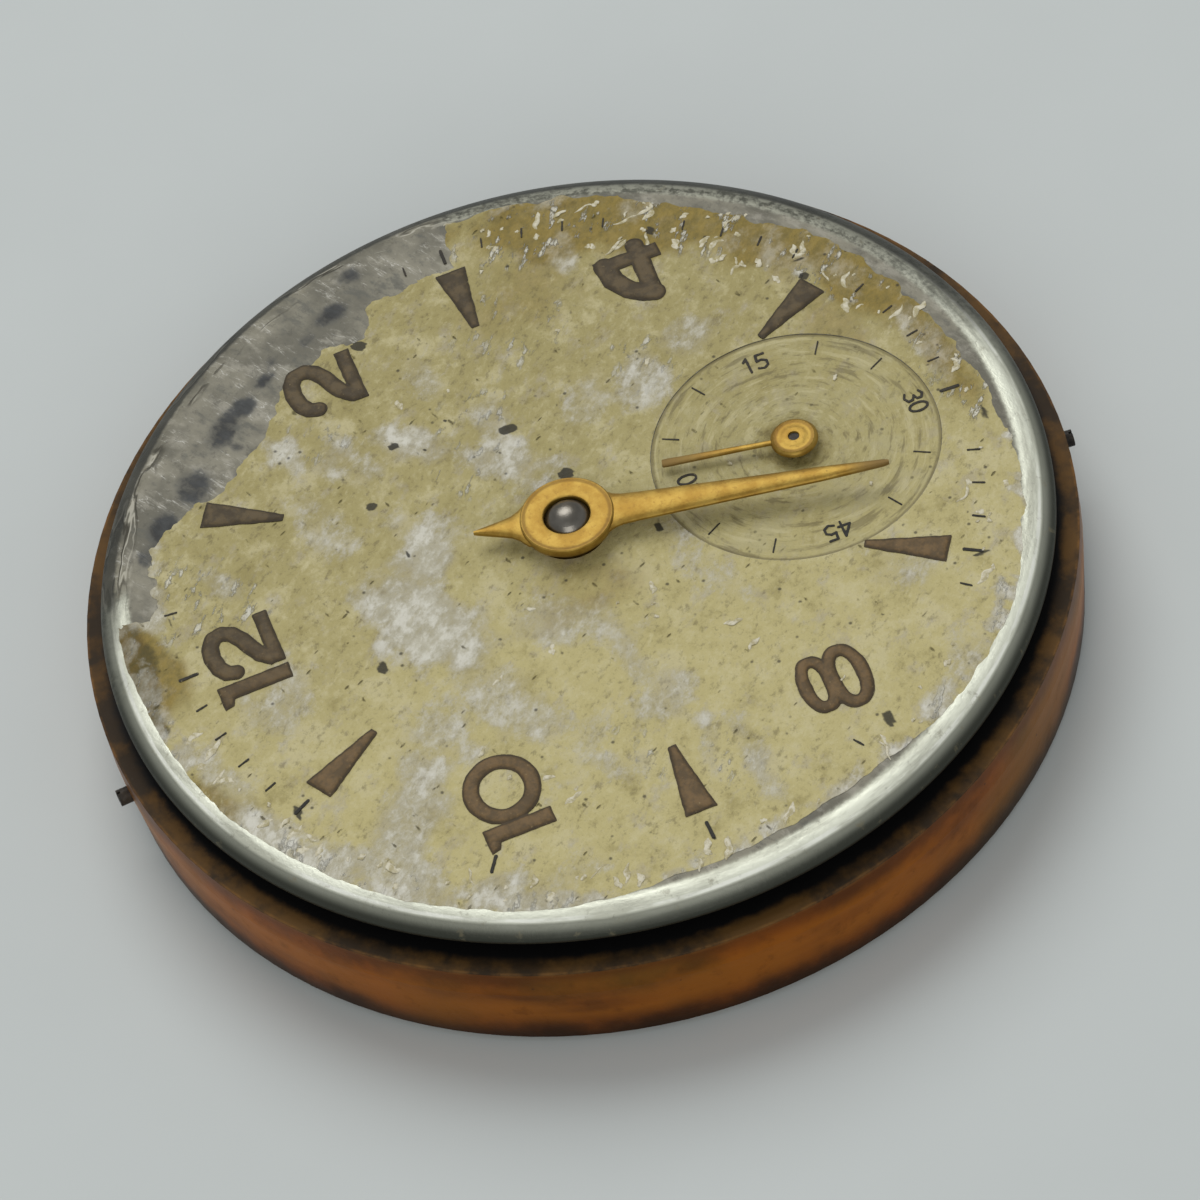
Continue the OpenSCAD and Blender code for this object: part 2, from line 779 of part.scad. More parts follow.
module balance_cock() {
    color(gilt) difference() {
        union() {
            slab(0.35, bridge_t) {
                bar(cock_screw_at, balance_at, 2.4);
                translate(balance_at) circle(1.75);
                bar(balance_at, stud_at, 0.9);
            }
            slab(0, bridge_t) intersection() {
                circle(bridge_r);
                polygon([[-14, 0.9], [-8.2, 0.9], [-7.5, 2], [-7.5, 6.5], [-14, 6.5]]);
            }
        }
        at(balance_at) disc(0.5, 0, 2);
        at(stud_at) disc(0.22, 0, 2);
        at(cock_screw_at) disc(0.28, 0, 2);
        at(cock_screw_at) disc(0.8, -1, 0.5);
    }
}

module regulator() {
    color(steel) at(balance_at) {
        ring(1.45, 1, 0.14, 0.34);
        slab(0.14, 0.34) difference() {
            union() {
                bar([0, 0], 2.6 * dir(225), 0.5);
                bar([0, 0], 4.2 * dir(45), 0.34);
            }
            circle(1.2);
        }
        for (r = [2.1, 2.4]) translate(r * dir(225)) disc(0.04, 0.3, 1.36);
    }
}

module end_piece() {
    color(ruby) at(balance_at) disc(0.5, 0.36, 0.56);
    color(steel) at(balance_at) difference() {
        disc(0.95, 0.12, 0.35);
        disc(0.3, 0, 1);
    }
}

// Bridges

module barrel_bridge() {
    click_sink = 0.58;
    color(gilt) difference() {
        slab(0, bridge_t) intersection() {
            circle(bridge_r);
            polygon([[-7.1, 0.9], [-2.6, 0.9], [-1.6, -1.55], [4.9, -1.55], [6.3, -4.2], [14, -4.2], [14, 14],
                [-7.1, 14]]);
        }
        at(barrel_at) disc(5.3, -1, click_sink);
        at(barrel_at) disc(0.84, 0, 2);
        at(crown_at) disc(3, -1, click_sink);
        at(crown_at) disc(0.3, 0, 2);
        box(10.6, 12.2, -1.95, 1.95, -1, 2);
        box(7.7, 10.7, -0.95, 0.95, stem_z - clutch_r - 0.05, 2);
        disc(0.28, 0.4, 2);
        for (p = barrel_bridge_screws_at) at(p) disc(0.28, -1, 2);
        for (p = barrel_bridge_screws_at) at(p) disc(0.8, -1, 0.5);
        slab(-1, click_sink) {
            bar(click_at, click_tip_at + [0.2, 0.5], 1.9);
            bar(click_at + [-0.6, 0.4], [-4.6, 11], 1.2);
            polygon([[-4.5, 11.3], [-3, 10.93], [-1.3, 10.02], [-1.68, 9.3], [-3.35, 10.18], [-4.7, 10.5]]);
        }
        at(click_at) disc(0.25, 0, 2);
    }
}

module train_bridge() {
    color(gilt) difference() {
        slab(0, bridge_t) difference() {
            intersection() {
                circle(bridge_r);
                polygon([[-1.9, -1.75], [4.78, -1.75], [6.18, -4.4], [14, -4.4], [14, -14], [-7.5, -14],
                    [-7.5, -9]]);
            }
            translate(balance_at) circle(balance_r + 0.2);
        }
        for (p = [third_at, fourth_at, escape_at]) at(p) disc(0.6, -1, 2);
        for (p = train_bridge_screws_at) at(p) disc(0.28, -1, 2);
        for (p = train_bridge_screws_at) at(p) disc(0.8, -1, 0.5);
    }
}

module bridge_jewels() {
    color(ruby) {
        jewel(third_at, 0.6, 0.15, 0.45, bridge_t);
        jewel(fourth_at, 0.6, 0.15, 0.45, bridge_t);
        jewel(escape_at, 0.6, 0.13, 0.45, bridge_t);
        jewel(balance_at, 0.5, 0.13, 0.6, bridge_t);
    }
}

module bridge_screws() {
    color(blue_steel) for (k = [0 : len(bridge_screws_at) - 1]) at(bridge_screws_at[k])
        screw(0.76, 0.28, 0.12, 0.5, 2.6, 47 * k);
}

// Winding work on the barrel bridge

module ratchet_wheel() {
    color(steel) at(barrel_at) slab(0.3, 0.55) difference() {
        gear(ratchet_n, winding_m, wheel_tooth, ratchet_turn);
        translate([-0.5, -0.5]) square(1);
    }
}

module ratchet_screw() {
    color(blue_steel) at(barrel_at) screw(1.1, 0.3, 0.06, 0.3, 0.95, 15);
}

module crown_wheel() {
    color(steel) at(crown_at) slab(0.3, 0.55) difference() {
        gear(crown_n, winding_m, wheel_tooth);
        circle(1.3);
    }
}

module crown_wheel_core() {
    color(steel) at(crown_at) ring(1.26, 0.3, 0.28, 0.58);
}

module crown_wheel_screw() {
    color(blue_steel) at(crown_at) screw(0.9, 0.3, 0.05, 0.28, 0.69, 75);
}

module click() {
    color(steel) slab(0.3, 0.55) difference() {
        union() {
            translate(click_at) circle(0.75);
            bar(click_at, click_tip_at, 0.24);
            bar(click_at, click_at + [1.1, 0.28], 0.6);
        }
        translate(click_at) circle(0.28);
    }
}

module click_spring() {
    color(steel) slab(0.32, 0.52) {
        translate([-4.5, 10.9]) circle(0.42);
        bar([-4.5, 10.9], [-3.2, 10.55], 0.14);
        bar([-3.2, 10.55], [-1.5, 9.68], 0.1);
    }
}

module click_screw() {
    color(blue_steel) at(click_at) screw(0.6, 0.25, 0.05, 0.28, 1, 120);
}

main_plate();
plate_jewels();
dial();
dial_foot_screws();
dial_washer();
minute_hand();
seconds_hand();
cannon_pinion();
hour_wheel();
minute_wheel();
setting_wheel();
setting_lever();
setting_lever_screw();
yoke();
yoke_spring();
setting_bridge();
setting_bridge_screws();
winding_stem();
sliding_pinion();
winding_pinion();
barrel_drum();
barrel_cover();
barrel_arbor();
mainspring();
centre_wheel();
centre_pinion();
third_wheel();
third_pinion();
fourth_wheel();
fourth_pinion();
escape_wheel();
escape_pinion();
pallet_fork();
pallet_stones();
pallet_arbor();
pallet_bridge();
pallet_bridge_screws();
balance_wheel();
balance_screws();
balance_staff();
roller();
impulse_jewel();
hairspring();
hairspring_collet();
hairspring_stud();
balance_cock();
regulator();
end_piece();
barrel_bridge();
train_bridge();
bridge_jewels();
bridge_screws();
ratchet_wheel();
ratchet_screw();
crown_wheel();
crown_wheel_core();
crown_wheel_screw();
click();
click_spring();
click_screw();
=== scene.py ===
import bpy
import json
import math
import numpy as np
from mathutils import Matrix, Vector


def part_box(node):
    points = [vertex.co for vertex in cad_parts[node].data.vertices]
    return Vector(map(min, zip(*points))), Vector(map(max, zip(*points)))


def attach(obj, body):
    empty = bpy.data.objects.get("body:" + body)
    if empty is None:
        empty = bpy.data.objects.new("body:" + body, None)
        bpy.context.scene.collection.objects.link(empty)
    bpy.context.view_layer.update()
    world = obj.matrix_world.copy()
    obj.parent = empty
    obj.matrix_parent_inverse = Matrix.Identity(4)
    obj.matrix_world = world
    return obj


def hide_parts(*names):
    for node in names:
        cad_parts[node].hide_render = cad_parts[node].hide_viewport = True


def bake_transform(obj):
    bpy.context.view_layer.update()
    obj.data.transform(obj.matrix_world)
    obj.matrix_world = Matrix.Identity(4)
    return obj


# Looks of the watch movement. Sizes are in millimetres until a mesh is made; mm turns them into metres.
mm = 0.001
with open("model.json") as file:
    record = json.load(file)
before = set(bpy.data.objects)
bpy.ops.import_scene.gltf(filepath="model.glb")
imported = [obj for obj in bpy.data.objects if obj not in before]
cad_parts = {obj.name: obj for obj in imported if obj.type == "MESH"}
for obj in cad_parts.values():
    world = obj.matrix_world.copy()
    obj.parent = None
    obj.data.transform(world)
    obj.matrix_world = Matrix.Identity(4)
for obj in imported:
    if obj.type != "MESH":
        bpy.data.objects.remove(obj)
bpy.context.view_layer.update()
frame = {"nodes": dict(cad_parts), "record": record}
scene = bpy.context.scene
print("frame loaded:", len(frame["nodes"]), "nodes")


def tone(red, green, blue):
    # a screen colour, 0 to 255, as a linear colour
    linear = [((c / 255 + 0.055) / 1.055) ** 2.4 if c > 10 else c / 255 / 12.92 for c in (red, green, blue)]
    return (*linear, 1.0)


def tones(**named):
    return {name: tone(*levels) for name, levels in named.items()}


class Wire:
    # wraps one socket, so that masks can be written as sums and products
    def __init__(self, finish, socket):
        self.finish = finish
        self.socket = socket

    def math(self, operation, other, swapped=False):
        first, second = (other, self) if swapped else (self, other)
        return self.finish.node("ShaderNodeMath", {"operation": operation}, {0: first, 1: second})

    def __add__(self, other):
        return self.math("ADD", other)

    def __radd__(self, other):
        return self.math("ADD", other)

    def __sub__(self, other):
        return self.math("SUBTRACT", other)

    def __rsub__(self, other):
        return self.math("SUBTRACT", other, swapped=True)

    def __mul__(self, other):
        return self.math("MULTIPLY", other)

    def __rmul__(self, other):
        return self.math("MULTIPLY", other)

    def __abs__(self):
        return self.math("ABSOLUTE", 0.0)

    def spread(self, amount):
        # a noise swinging about zero, to make another mask's edge ragged
        return (self - 0.5) * amount


class Finish:
    # one material: its nodes, the object's own coordinates in mm, and the shader's fixed values
    def __init__(self, name, fixed=None):
        self.material = bpy.data.materials.new(name)
        self.material.use_nodes = True
        self.tree = self.material.node_tree
        self.shader = self.tree.nodes["Principled BSDF"]
        for socketName, value in (fixed or {}).items():
            self.shader.inputs[socketName].default_value = value
        coords = self.node("ShaderNodeTexCoord", output="Object")
        self.place = self.vector("SCALE", {"Vector": coords, "Scale": 1 / mm})

    def node(self, kind, settings=None, inputs=None, output=0):
        made = self.tree.nodes.new(kind)
        for key, value in (settings or {}).items():
            setattr(made, key, value)
        for key, value in (inputs or {}).items():
            if isinstance(value, Wire):
                self.tree.links.new(value.socket, made.inputs[key])
            else:
                made.inputs[key].default_value = value
        return Wire(self, made.outputs[output])

    def vector(self, operation, inputs, output=0):
        return self.node("ShaderNodeVectorMath", {"operation": operation}, inputs, output)

    def noise(self, size, detail=3.0, rough=0.55, place=None, stretch=None, shift=(0, 0, 0)):
        # blobs about size mm across, 0 to 1
        at = place or self.place
        if stretch or any(shift):
            at = self.node("ShaderNodeMapping", {"vector_type": "POINT"},
                           {"Vector": at, "Scale": stretch or (1, 1, 1), "Location": shift})
        return self.node("ShaderNodeTexNoise", {"noise_dimensions": "3D"},
                         {"Vector": at, "Scale": 1 / size, "Detail": detail, "Roughness": rough})

    def grains(self, size, place=None):
        # how far the nearest grain's middle is, as a share of size
        return self.node("ShaderNodeTexVoronoi", {"feature": "F1"},
                         {"Vector": place or self.place, "Scale": 1 / size}, "Distance")

    def soft(self, value, low, high):
        # 0 below low, 1 above high, with a smooth rise; low may be the larger one
        return self.node("ShaderNodeMapRange", {"interpolation_type": "SMOOTHSTEP", "clamp": True},
                         {"Value": value, "From Min": low, "From Max": high})

    def painted(self, name):
        # a mask that the piece's own mesh carries
        return self.node("ShaderNodeAttribute", {"attribute_type": "GEOMETRY", "attribute_name": name},
                         output="Fac")

    def mix(self, mask, first, second):
        return self.node("ShaderNodeMix", {"data_type": "RGBA", "blend_type": "MIX", "clamp_factor": True},
                         {0: mask, 6: first, 7: second}, output=2)

    def over(self, colour, *layers):
        # lays (mask, colour) layers over a colour, one after another
        for mask, layer in layers:
            colour = self.mix(mask, colour, layer)
        return colour

    def part(self, which):
        return self.node("ShaderNodeSeparateXYZ", inputs={"Vector": self.place}, output=which)

    def flat(self, centre):
        # place in plan, from an upright axis through centre
        return self.vector("MULTIPLY_ADD", {0: self.place, 1: (1, 1, 0), 2: (-centre[0], -centre[1], 0)})

    def reach(self, centre):
        # distance in plan from that axis
        return self.vector("LENGTH", {"Vector": self.flat(centre)}, "Value")

    def ringPlace(self, centre, along, across):
        # coordinates for grain that runs round an upright axis: stretched along the turn, fine across it
        heading = self.vector("NORMALIZE", {"Vector": self.flat(centre)})
        around = self.vector("SCALE", {"Vector": heading, "Scale": along})
        lift = self.node("ShaderNodeCombineXYZ", inputs={"Z": self.reach(centre) * across})
        return self.vector("ADD", {0: around, 1: lift})

    def grainPlace(self, turn, along, across):
        # coordinates stretched along a heading in plan
        heading = (0, 0, math.radians(turn))
        return self.node("ShaderNodeMapping", {"vector_type": "TEXTURE"},
                         {"Vector": self.place, "Rotation": heading, "Scale": (along, across, 1)})

    def feed(self, colour=None, rough=None, metal=None, height=None, relief=0.01):
        # relief is the height in mm that a full step of the height mask stands
        wires = {"Base Color": colour, "Roughness": rough, "Metallic": metal}
        if height is not None:
            step = {"Height": height, "Distance": relief * mm, "Strength": 1.0}
            wires["Normal"] = self.node("ShaderNodeBump", inputs=step, output="Normal")
        for socketName, wire in wires.items():
            if wire is not None:
                self.tree.links.new(wire.socket, self.shader.inputs[socketName])
        return self.material


# Mesh helpers

latticeSize = 89


def cloud(x, y, size, seed, octaves=3):
    # smooth random field, 0 to 1, with blobs about size mm across
    total = np.zeros_like(x, dtype=float)
    weight = 0.0
    for octave in range(octaves):
        lattice = np.random.default_rng(seed * 31 + octave).random((latticeSize, latticeSize))
        u = x / size * 2 ** octave + 400.3
        v = y / size * 2 ** octave + 400.7
        i, j = np.floor(u).astype(int), np.floor(v).astype(int)
        fu, fv = u - i, v - j
        fu, fv = fu * fu * (3 - 2 * fu), fv * fv * (3 - 2 * fv)
        corner = lambda a, b: lattice[(i + a) % latticeSize, (j + b) % latticeSize]
        row = lambda b: corner(0, b) * (1 - fu) + corner(1, b) * fu
        total += (row(0) * (1 - fv) + row(1) * fv) / 2 ** octave
        weight += 1 / 2 ** octave
    return total / weight


def ease(value, low, high):
    t = np.clip((value - low) / (high - low), 0, 1)
    return t * t * (3 - 2 * t)


def strokeReach(x, y, points):
    # distance from a line through the points
    best = np.full(np.shape(x), 1e9)
    for (ax, ay), (bx, by) in zip(points[:-1], points[1:]):
        dx, dy = bx - ax, by - ay
        t = np.clip(((x - ax) * dx + (y - ay) * dy) / (dx * dx + dy * dy + 1e-12), 0, 1)
        best = np.minimum(best, np.hypot(x - ax - t * dx, y - ay - t * dy))
    return best


def insideArea(x, y, corners):
    # signed distance to a closed outline, positive inside
    edge = strokeReach(x, y, corners + [corners[0]])
    inside = np.zeros(np.shape(x), bool)
    for (ax, ay), (bx, by) in zip(corners, corners[1:] + corners[:1]):
        if ay != by:
            crosses = (ay > y) != (by > y)
            inside ^= crosses & (x < (bx - ax) * (y - ay) / (by - ay) + ax)
    return np.where(inside, edge, -edge)


def clock(angle, radius):
    # plan place of a clock angle in degrees
    a = math.radians(90 - angle)
    return radius * math.cos(a), radius * math.sin(a)


def clockTurn(x, y):
    # clock angle of a plan place
    return (90 - np.degrees(np.arctan2(y, x))) % 360


def shadeSharp(mesh, degrees):
    # smooth shading, with the edges that turn by more than this left crisp
    mesh.shade_smooth()
    mesh.set_sharp_from_angle(angle=math.radians(degrees))


def carryMasks(mesh, masks):
    for maskName, values in masks.items():
        layer = mesh.attributes.new(maskName, "FLOAT", "POINT")
        layer.data.foreach_set("value", np.asarray(values, np.float32))


def newPiece(name, points, faces, body, material, masks=None, sharp=40):
    mesh = bpy.data.meshes.new(name)
    mesh.from_pydata((np.asarray(points, float) * mm).tolist(), [], faces)
    mesh.update()
    carryMasks(mesh, masks or {})
    shadeSharp(mesh, sharp)
    piece = bpy.data.objects.new(name, mesh)
    scene.collection.objects.link(piece)
    mesh.materials.append(material)
    if body:
        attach(piece, body)
    return piece


def layerMesh(field, top, under, low, high, cell):
    # closed layer over the places where field is positive: its edge points are moved onto the outline
    gx, gy = np.meshgrid(*(np.arange(low[k], high[k] + cell, cell) for k in (0, 1)), indexing="ij")
    keep = field(gx, gy) > -0.4 * cell
    cells = keep[:-1, :-1] & keep[1:, :-1] & keep[1:, 1:] & keep[:-1, 1:]
    cells[0, :] = cells[-1, :] = False
    cells[:, 0] = cells[:, -1] = False
    for sweep in range(6):
        # cells that meet only at a corner go
        a, b, c, d = cells[:-1, :-1], cells[1:, 1:], cells[1:, :-1], cells[:-1, 1:]
        pinch = (a & b & ~c & ~d) | (c & d & ~a & ~b)
        cells[:-1, :-1] &= ~pinch
        cells[1:, :-1] &= ~pinch
    around = np.zeros(gx.shape, int)
    for i in (0, 1):
        for j in (0, 1):
            around[i:gx.shape[0] - 1 + i, j:gx.shape[1] - 1 + j] += cells
    used = around > 0
    rim = used & (around < 4)
    px, py = gx[rim], gy[rim]
    step, farthest = 0.2 * cell, 0.62 * cell
    for sweep in range(3):
        gap = field(px, py)
        sx = (field(px + step, py) - field(px - step, py)) / (2 * step)
        sy = (field(px, py + step) - field(px, py - step)) / (2 * step)
        size = sx * sx + sy * sy + 0.05
        px, py = (p + 0.7 * np.clip(-gap * s / size, -0.5 * cell, 0.5 * cell) for p, s in ((px, sx), (py, sy)))
    gx[rim] = np.clip(px, gx[rim] - farthest, gx[rim] + farthest)
    gy[rim] = np.clip(py, gy[rim] - farthest, gy[rim] + farthest)
    number = np.full(gx.shape, -1)
    count = int(used.sum())
    number[used] = np.arange(count)
    x, y = gx[used], gy[used]
    i, j = np.nonzero(cells)
    upper = np.stack([number[i, j], number[i + 1, j], number[i + 1, j + 1], number[i, j + 1]], 1)
    lower = upper[:, ::-1] + count
    walls = []
    sides = ((0, -1, (0, 0), (1, 0)), (1, 0, (1, 0), (1, 1)), (0, 1, (1, 1), (0, 1)), (-1, 0, (0, 1), (0, 0)))
    for di, dj, first, second in sides:
        bare = ~cells[i + di, j + dj]
        a, b = (number[i[bare] + end[0], j[bare] + end[1]] for end in (first, second))
        walls.append(np.stack([b, a, a + count, b + count], 1))
    faces = np.concatenate([upper, lower] + walls)
    points = np.concatenate([np.stack([x, y, z], 1) for z in (top(x, y), under(x, y))])
    return points, faces.tolist(), points[:, 0], points[:, 1]


def lathe(profile, centre=(0, 0), segments=192, closed=True):
    # profile is a list of (radius, height); points on the axis become one point
    points, rings = [], []
    for radius, height in profile:
        if radius < 1e-6:
            rings.append([len(points)] * segments)
            points.append((centre[0], centre[1], height))
        else:
            rings.append(list(range(len(points), len(points) + segments)))
            for k in range(segments):
                a = 2 * math.pi * k / segments
                points.append((centre[0] + radius * math.cos(a), centre[1] + radius * math.sin(a), height))
    faces = []
    following = rings[1:] + rings[:1] if closed else rings[1:]
    for one, two in zip(rings, following):
        for k in range(segments):
            n = (k + 1) % segments
            corners = [one[k], one[n], two[n], two[k]]
            face = [c for p, c in enumerate(corners) if c != corners[p - 1]]
            if len(set(face)) >= 3:
                faces.append(face)
    return points, faces


def rod(radius, low, high, centre=(0, 0), segments=48):
    return lathe([(0, low), (radius, low), (radius, high), (0, high)], centre, segments, closed=False)


def cut(piece, cutters, operation="DIFFERENCE"):
    # exact boolean with closed cutter meshes in mm, applied to the mesh
    for points, faces in cutters:
        mesh = bpy.data.meshes.new("cutter")
        mesh.from_pydata([tuple(c * mm for c in p) for p in points], [], faces)
        tool = bpy.data.objects.new("cutter", mesh)
        scene.collection.objects.link(tool)
        change = piece.modifiers.new("cut", "BOOLEAN")
        change.operation = operation
        change.solver = "EXACT"
        change.object = tool
        bpy.context.view_layer.update()
        result = bpy.data.meshes.new_from_object(piece.evaluated_get(bpy.context.evaluated_depsgraph_get()))
        piece.modifiers.clear()
        piece.data = result
        bpy.data.objects.remove(tool)


# The dial: a bent metal disc, its aged paint, and the figures on it

dialShape = {"faceTop": 5.1, "dome": 0.18, "domeReach": 12.95, "holeRadius": 1.1, "secondsAt": (0.0, -7.0),
             "secondsRadius": 4.25, "secondsFloor": 4.9, "secondsSunk": 0.05, "pipeHole": 0.4,
             "footRadius": 0.4, "footReach": 12.4, "footTurns": (184.7, 355.7), "footLow": 2.0, "footHigh": 4.6,
             "metalDrop": 0.03, "paintDrop": 0.05, "paintCell": 0.1, "printDrop": 0.02}
# the painted floor of the sunk seconds circle
secondsShape = {"inner": 0.42, "outer": 4.246, "under": 4.86, "top": 4.9, "firstRing": 4.2, "rings": 64,
                "ripple": 0.012}

# outline of the place between 12 and 3 where the paint is gone, in mm from the hands' axis
barePlace = [(3.0, 15.0), (3.1, 13.2), (2.4, 12.2), (3.7, 11.7), (5.0, 11.5), (5.6, 10.4), (6.1, 9.4),
             (7.0, 8.2), (7.2, 7.4), (8.3, 6.5), (9.7, 5.6), (9.9, 4.4), (9.8, 3.2), (10.8, 2.4), (11.3, 1.0),
             (11.2, -0.2), (13.2, -0.5), (15.0, -0.6), (15.0, 15.0)]

# patches on the paint: centre, half sizes, turn in degrees, strength
chalkPatches = [(-0.9, 5.3, 2.3, 1.6, 20, 1.0), (1.4, 4.2, 2.1, 1.3, -20, 0.9), (4.5, 2.4, 3.3, 0.8, 47, 0.8),
                (4.9, 0.9, 0.9, 0.6, -30, 0.6), (6.0, 5.3, 1.4, 1.1, 20, 0.7), (6.7, 6.8, 1.1, 0.8, 40, 0.85),
                (3.6, 6.5, 1.7, 0.7, 10, 0.42), (-4.8, 6.0, 1.6, 1.0, 30, 0.62),
                (-5.4, 3.6, 1.6, 0.9, 25, 0.62), (-7.4, 7.5, 2.5, 1.0, -30, 0.8),
                (-9.8, 8.4, 1.4, 0.9, 50, 0.75), (-8.3, 1.8, 1.2, 1.5, 10, 0.66),
                (-7.0, -0.3, 0.9, 1.3, 20, 0.7), (-10.2, -1.9, 2.2, 0.5, 0, 0.85),
                (-9.0, -1.0, 1.4, 0.5, -10, 0.55), (-3.2, 0.9, 1.6, 0.8, 60, 0.6),
                (-5.2, 0.0, 1.8, 0.5, 5, 0.6), (-3.4, -3.3, 1.5, 0.6, 30, 0.35),
                (4.5, -3.8, 1.1, 0.7, -30, 0.72), (5.6, -5.6, 0.8, 1.2, 20, 0.6),
                (4.2, -1.9, 1.3, 0.6, -40, 0.45), (8.1, -8.5, 1.3, 0.7, 35, 0.5),
                (6.2, -10.3, 1.5, 0.6, 30, 0.5), (2.9, 9.9, 0.9, 0.5, 25, 0.66),
                (9.9, -3.3, 0.9, 0.4, -10, 0.6), (2.5, -11.8, 2.0, 0.5, 8, 0.62),
                (-4.6, 11.9, 1.8, 0.6, 20, 0.6), (10.9, -5.9, 0.8, 0.6, 60, 0.75),
                (-11.6, 4.4, 0.6, 1.6, 5, 0.5), (-5.6, -8.4, 1.3, 0.8, 45, 0.4),
                (-9.6, -8.6, 0.7, 1.3, 45, 0.5), (-1.7, 9.5, 1.5, 1.1, 0, 0.6),
                (3.0, 12.4, 0.9, 0.6, -20, 0.85), (-8.5, 9.3, 1.2, 0.6, 45, 0.85),
                (-11.2, 6.3, 0.5, 1.3, 10, 0.8), (7.4, 2.0, 0.9, 0.6, 10, 0.5), (-1.5, -2.9, 0.9, 0.6, 20, 0.4)]
ochrePatches = [(11.8, -3.2, 1.6, 3.4, -12, 1.0), (10.2, -7.0, 1.8, 2.2, -35, 1.0),
                (8.1, -9.1, 2.3, 1.5, 38, 0.95), (4.6, -11.4, 2.6, 1.1, 22, 0.9),
                (1.6, -12.1, 2.6, 0.8, 5, 0.75), (-4.4, 12.6, 1.4, 0.6, 18, 0.7), (0.8, 12.9, 2.6, 0.9, 0, 1.0),
                (-2.4, 0.0, 1.2, 2.4, 0, 0.4), (9.2, 8.4, 0.3, 0.3, 0, 0.2), (9.4, -1.4, 2.4, 2.2, -20, 0.42),
                (3.6, -9.6, 1.8, 1.0, 0, 0.4)]
stainPatches = [(0.9, 13.1, 2.2, 0.55, -3, 0.9), (-1.1, 13.2, 0.6, 0.3, 5, 1.0),
                (2.3, 13.15, 0.8, 0.28, -8, 1.0), (12.6, -2.1, 0.3, 1.1, -8, 0.5),
                (12.1, -4.0, 0.25, 0.6, -18, 0.5)]
fibrePatches = [(9.8, -7.4, 1.6, 2.2, -40, 1.0), (6.6, -10.4, 2.4, 1.0, 35, 1.0),
                (11.6, -2.6, 1.0, 2.2, -10, 0.9), (5.0, -4.0, 1.5, 1.2, -30, 0.8),
                (5.0, 1.6, 2.6, 1.6, -30, 0.7), (8.0, -0.6, 1.6, 2.0, 0, 0.6), (2.6, 10.4, 1.6, 1.6, 0, 0.7),
                (6.6, 6.0, 1.6, 1.4, 20, 0.6), (1.6, -11.8, 2.6, 0.8, 8, 0.8), (-8.0, 0.8, 1.8, 1.8, 0, 0.5),
                (-10.2, -1.6, 2.2, 0.9, 0, 0.5)]
# small dark dots on the paint: centre, half sizes, strength
darkDots = [(4.4, 0.4, 0.2, 0.28, 1.0), (2.0, -0.55, 0.2, 0.24, 0.9), (9.6, 3.4, 0.24, 0.2, 1.0),
            (-2.3, 6.6, 0.2, 0.16, 0.8), (3.5, 5.0, 0.13, 0.17, 0.9), (5.35, 3.7, 0.13, 0.13, 0.9),
            (-10.4, -5.9, 0.3, 0.16, 0.6), (4.8, 2.9, 0.07, 0.07, 0.9), (5.6, 2.0, 0.08, 0.06, 0.8),
            (1.3, 4.6, 0.13, 0.08, 0.8), (6.0, -9.5, 0.14, 0.2, 0.9), (-1.1, -2.35, 0.2, 0.1, 0.8),
            (-6.0, 10.4, 0.25, 0.12, 0.8), (9.9, -6.0, 0.2, 0.14, 0.8), (-11.9, 0.0, 0.28, 0.08, 0.8),
            (-6.1, -10.4, 0.1, 0.26, 0.7), (0.3, -11.0, 0.5, 0.1, 0.7), (-1.3, -12.4, 0.35, 0.12, 0.6),
            (6.7, -9.6, 0.06, 0.2, 0.6), (2.2, 11.7, 0.2, 0.08, 0.5)]
# black blots on the bare metal, as the patches above
metalBlots = [(5.6, 10.9, 0.7, 0.5, -30, 1.0), (6.7, 9.5, 0.6, 0.5, -30, 0.8), (8.3, 8.1, 0.8, 0.45, -45, 0.9),
              (9.0, 7.2, 0.5, 0.4, -50, 1.0), (9.7, 6.4, 0.55, 0.35, -60, 0.95),
              (11.2, 3.8, 0.7, 0.4, -70, 0.95), (12.4, 2.8, 0.3, 0.35, 0, 0.8), (6.6, 8.2, 0.35, 0.22, 0, 0.6),
              (7.6, 7.9, 0.35, 0.22, 30, 0.8), (10.3, 6.0, 0.3, 0.25, -40, 0.8),
              (10.6, 4.7, 0.35, 0.25, -60, 0.7), (4.9, 11.6, 0.4, 0.25, -20, 0.6)]

# height of the dial's face near its edge, and the metal disc's own section there
rimProfile = [(12.95, 4.92), (13.15, 4.892), (13.35, 4.852), (13.55, 4.775), (13.7, 4.682), (13.83, 4.595),
              (13.92, 4.515), (13.97, 4.46), (14.0, 4.4)]
metalEdge = [(0.0, 4.55), (13.3, 4.55), (13.75, 4.3), (13.94, 4.2), (13.985, 4.235), (14.0, 4.28), (14.0, 4.4),
             (13.97, 4.46), (13.92, 4.515), (13.83, 4.59), (13.7, 4.675), (13.55, 4.755), (13.35, 4.83),
             (13.15, 4.868)]
# how far out the paint reaches at each clock angle
paintEdge = [(0, 13.3), (12, 13.45), (30, 13.1), (108, 13.03), (116, 12.9), (126, 12.6), (135, 12.55),
             (143, 12.75), (157, 12.65), (171, 12.68), (178, 12.75), (191, 12.98), (205, 13.15), (221, 13.3),
             (230, 13.2), (238, 13.05), (246, 12.85), (259, 12.74), (266, 12.85), (278, 12.92), (284, 13.15),
             (296, 13.3), (313, 13.33), (330, 13.22), (338, 13.3), (350, 13.22), (360, 13.3)]


def faceHeight(x, y):
    r = np.hypot(x, y)
    crown = dialShape["faceTop"] - dialShape["dome"] * (r / dialShape["domeReach"]) ** 2
    return np.where(r < dialShape["domeReach"], crown, np.interp(r, *zip(*rimProfile)))


def secondsHeight(x, y):
    return faceHeight(x, y) - dialShape["secondsSunk"]


